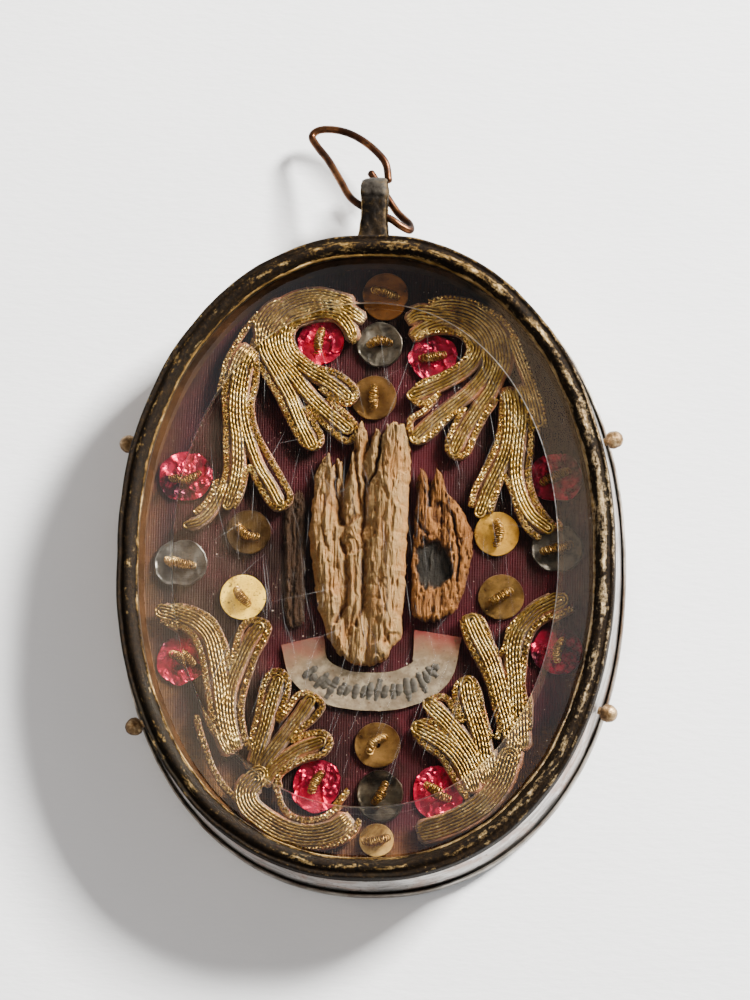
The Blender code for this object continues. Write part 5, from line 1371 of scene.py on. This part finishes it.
def makeLug():
    look = newLook("darkHanger", 0.5, 0.35, Specular_IOR_Level=0.1)
    cloud = grain(look, 0.55, 7.0, 0.66)
    rub = grain(look, 1.1, 6.0, 0.66)
    colour = ramp(look, cloud, ((0.34, (0.001, 0.0005, 0.0002)), (0.5, (0.0048, 0.0027, 0.001)),
                                (0.66, (0.016, 0.0095, 0.004))))
    grey = ramp(look, cloud, ((0.34, (0.007, 0.005, 0.0036)), (0.62, (0.050, 0.043, 0.034))))
    colour = mixColours(look, pointValue(look, "head"), colour, grey)
    worn = plus(look, rub, pointValue(look, "edge"), 0.2)
    colour = patches(look, colour, worn, 0.56, 0.72, 0.8, (0.048, 0.028, 0.008))
    wear(look, colour, ramp(look, rub, ((0.3, 0.72), (0.7, 0.5))), height=cloud, depth=0.14)
    thick, level = hanger["thick"], hanger["level"]
    middle = hanger["halfHeight"] - thick / 2
    straight = hanger["head"] - hanger["halfHeight"]
    run = [(y, 1.0) for y in np.linspace(hanger["foot"], straight, 34)]
    stations = [(y, -middle, 0.0, -1.0) for y, _ in run]
    stations += [(straight + middle * math.sin(t), -middle * math.cos(t), math.sin(t), -math.cos(t))
                 for t in np.linspace(0, math.pi, 15)[1:-1]]
    stations += [(y, middle, 0.0, 1.0) for y, _ in reversed(run)]
    count = hanger["lanes"]
    lanes = np.linspace(-1, 1, count)
    rows, edges, places = [], [], []
    for k, (y, z, outY, outZ) in enumerate(stations):
        spread = np.clip((hanger["flareBelow"] - y) / 0.9, 0, 1) ** 2
        half = hanger["half"] * np.interp(y + middle * outY, *np.array(hanger["waist"]).T)
        z += np.sign(z) * (hanger["footHeight"] - hanger["halfHeight"]) * spread
        half = half * (1 + 0.03 * layeredNoise(k * 0.17, 0.5, 91))
        x = lanes * half + 0.05 * softNoise(y * 0.7, 5.5, 92)
        relief = 0.1 * layeredNoise(x * 0.9 + 20, y * 0.7 + (z > 0) * 9, 93, 4) - 0.06
        if outZ > 0:
            # the lapped end of the strip crosses the top slantwise
            away = (y - hanger["lapAt"]) + 0.12 * x + 0.25 * softNoise(x * 1.3, 2.5, 94)
            relief = relief + 0.2 / (1 + np.exp(-away * 12)) - 0.17
            relief = relief - 0.1 * np.exp(-((away + 0.22) / 0.14) ** 2)
        low = thick / 2 - 0.3 * np.abs(lanes) ** 5
        up = low + np.minimum(relief, 0.02)
        top = np.column_stack((x, y + outY * up, z + level + outZ * up))
        under = np.column_stack((x, y - outY * low, z + level - outZ * low))[::-1]
        rows.append(np.vstack((top, under)))
        edges.append(np.tile(np.abs(lanes) ** 4, 2))
        places.append(np.full(2 * count, np.clip((y - hanger["greyAbove"]) / 0.9, 0, 1)))
    shape = Body()
    shape.sheet(np.array(rows), True, caps=True)
    foot, plug, tall = hanger["foot"], hanger["plug"], hanger["halfHeight"] - thick + 0.05
    block = []
    half = hanger["half"] * 0.96
    for y in np.linspace(foot, plug, hanger["plugRows"]):
        block.append([(-half, y, level - tall), (half, y, level - tall), (half, y, level + tall),
                      (-half, y, level + tall)])
    shape.sheet(np.array(block)[::-1], True, caps=True)
    lug = shape.finish("hangerLug", [look], sharp=60)
    blank = np.zeros(4 * len(block))
    paint(lug, "edge", np.r_[np.array(edges).ravel(), blank])
    paint(lug, "head", np.r_[np.array(places).ravel(), blank])
    settle(lug, "dark_metal", "suspension_lug")


def makeWire():
    look = newLook("copperWire", 0.38, 0.95)
    cloud = grain(look, 0.35, 5.0)
    fine = grain(look, 1.7, 5.0)
    colour = ramp(look, cloud, ((0.32, (0.007, 0.003, 0.0014)), (0.5, (0.036, 0.013, 0.0055)),
                                 (0.66, (0.15, 0.062, 0.025))))
    colour = mixColours(look, ramp(look, fine, ((0.30, 0.8), (0.44, 0.0))), colour, (0.026, 0.0165, 0.012))
    drawn = grain(look, 1.0, 2.0, where=spot(look, (0.35, 9, 1), alongRun=True))
    wear(look, colour, ramp(look, cloud, ((0.3, 0.55), (0.65, 0.28))),
         height=plus(look, fine, drawn, 0.6), depth=0.03)
    run, marks = evenRun(smoothRun(hanger["wire"]), 0.16)
    ends = np.minimum(marks, marks[-1] - marks)
    radius = hanger["wireRadius"] * np.sqrt(np.clip(1 - (1 - np.clip(ends / 0.3, 0, 1)) ** 2, 0.12, 1))
    radius = radius * (1 + 0.018 * layeredNoise(marks * 0.7, 4.5, 97))
    shape = Body()
    shape.tube(run, marks, radius, hanger["wireSides"])
    settle(shape.finish("copperLoop", [look], sharp=70), "copper_wire", "wire_loop")


# pin heads on the band: which side, how far up, and the profile of (reach, radius)
pins = {
    "level": 4.6, "start": 0.19, "rings": 22, "sides": 28,
    "ups": ((-1, 13.9), (1, 14.4), (1, -16.9), (-1, -18.6)),
    "profile": ((0.0, 0.45), (0.35, 0.45), (0.48, 0.72), (0.61, 0.89), (0.9, 1.02), (1.295, 1.05),
                (1.65, 0.97), (1.925, 0.82), (2.15, 0.58), (2.29, 0.3)),
}


def makePins():
    look = newLook("crustedPin", 0.5, 0.8)
    cloud = grain(look, 0.9, 6.0, 0.65)
    colour = ramp(look, cloud, ((0.3, (0.03, 0.015, 0.006)), (0.5, (0.15, 0.085, 0.034)),
                                 (0.7, (0.42, 0.29, 0.145))))
    wear(look, colour, ramp(look, cloud, ((0.3, 0.65), (0.7, 0.3))), height=cloud, depth=0.16)
    for k, (side, up) in enumerate(pins["ups"], 1):
        turns = np.linspace(0.05, math.pi - 0.05, 4000) * side
        turn = turns[np.argmin(np.abs(outline(turns)[:, 1] - up))]
        near, far = (ovalAt(np.array([turn]), pins["start"] + out)[0] for out in (0, 1))
        reach, radius = np.array(pins["profile"]).T
        marks = np.linspace(0, reach[-1], pins["rings"])
        run = np.column_stack((near + (far - near) * marks[:, None], np.full(len(marks), pins["level"])))
        radius = np.interp(marks, reach, radius) * (1 + 0.05 * layeredNoise(marks * 2.2, k * 3.3, 99))
        shape = Body()
        shape.tube(run, marks, radius, pins["sides"])
        settle(shape.finish(f"bandPin{k}", [look], sharp=50), "pin_metal", f"pin_{k}")
    print("pins:", len(pins["ups"]))


makeFloor()
makeCamera()
makeLamps()
print("camera, lamps and floor are set")
makeTray()
makeBand()
makeBezel()
print("case: tray, band and bezel")
makeLining()
makeSilk()
print("filling: lining and silk")
for boneName, boneSpec in bones.items():
    makeBone(boneName, boneSpec)
makeLabel()
print("bones and label")
makeSprays()
makeSequins()
makeFoils()
makeCoils()
makeLug()
makeWire()
print("hanger: lug and wire")
makePins()
makeGlass()
makeScratches()
print("glass and its hairlines")
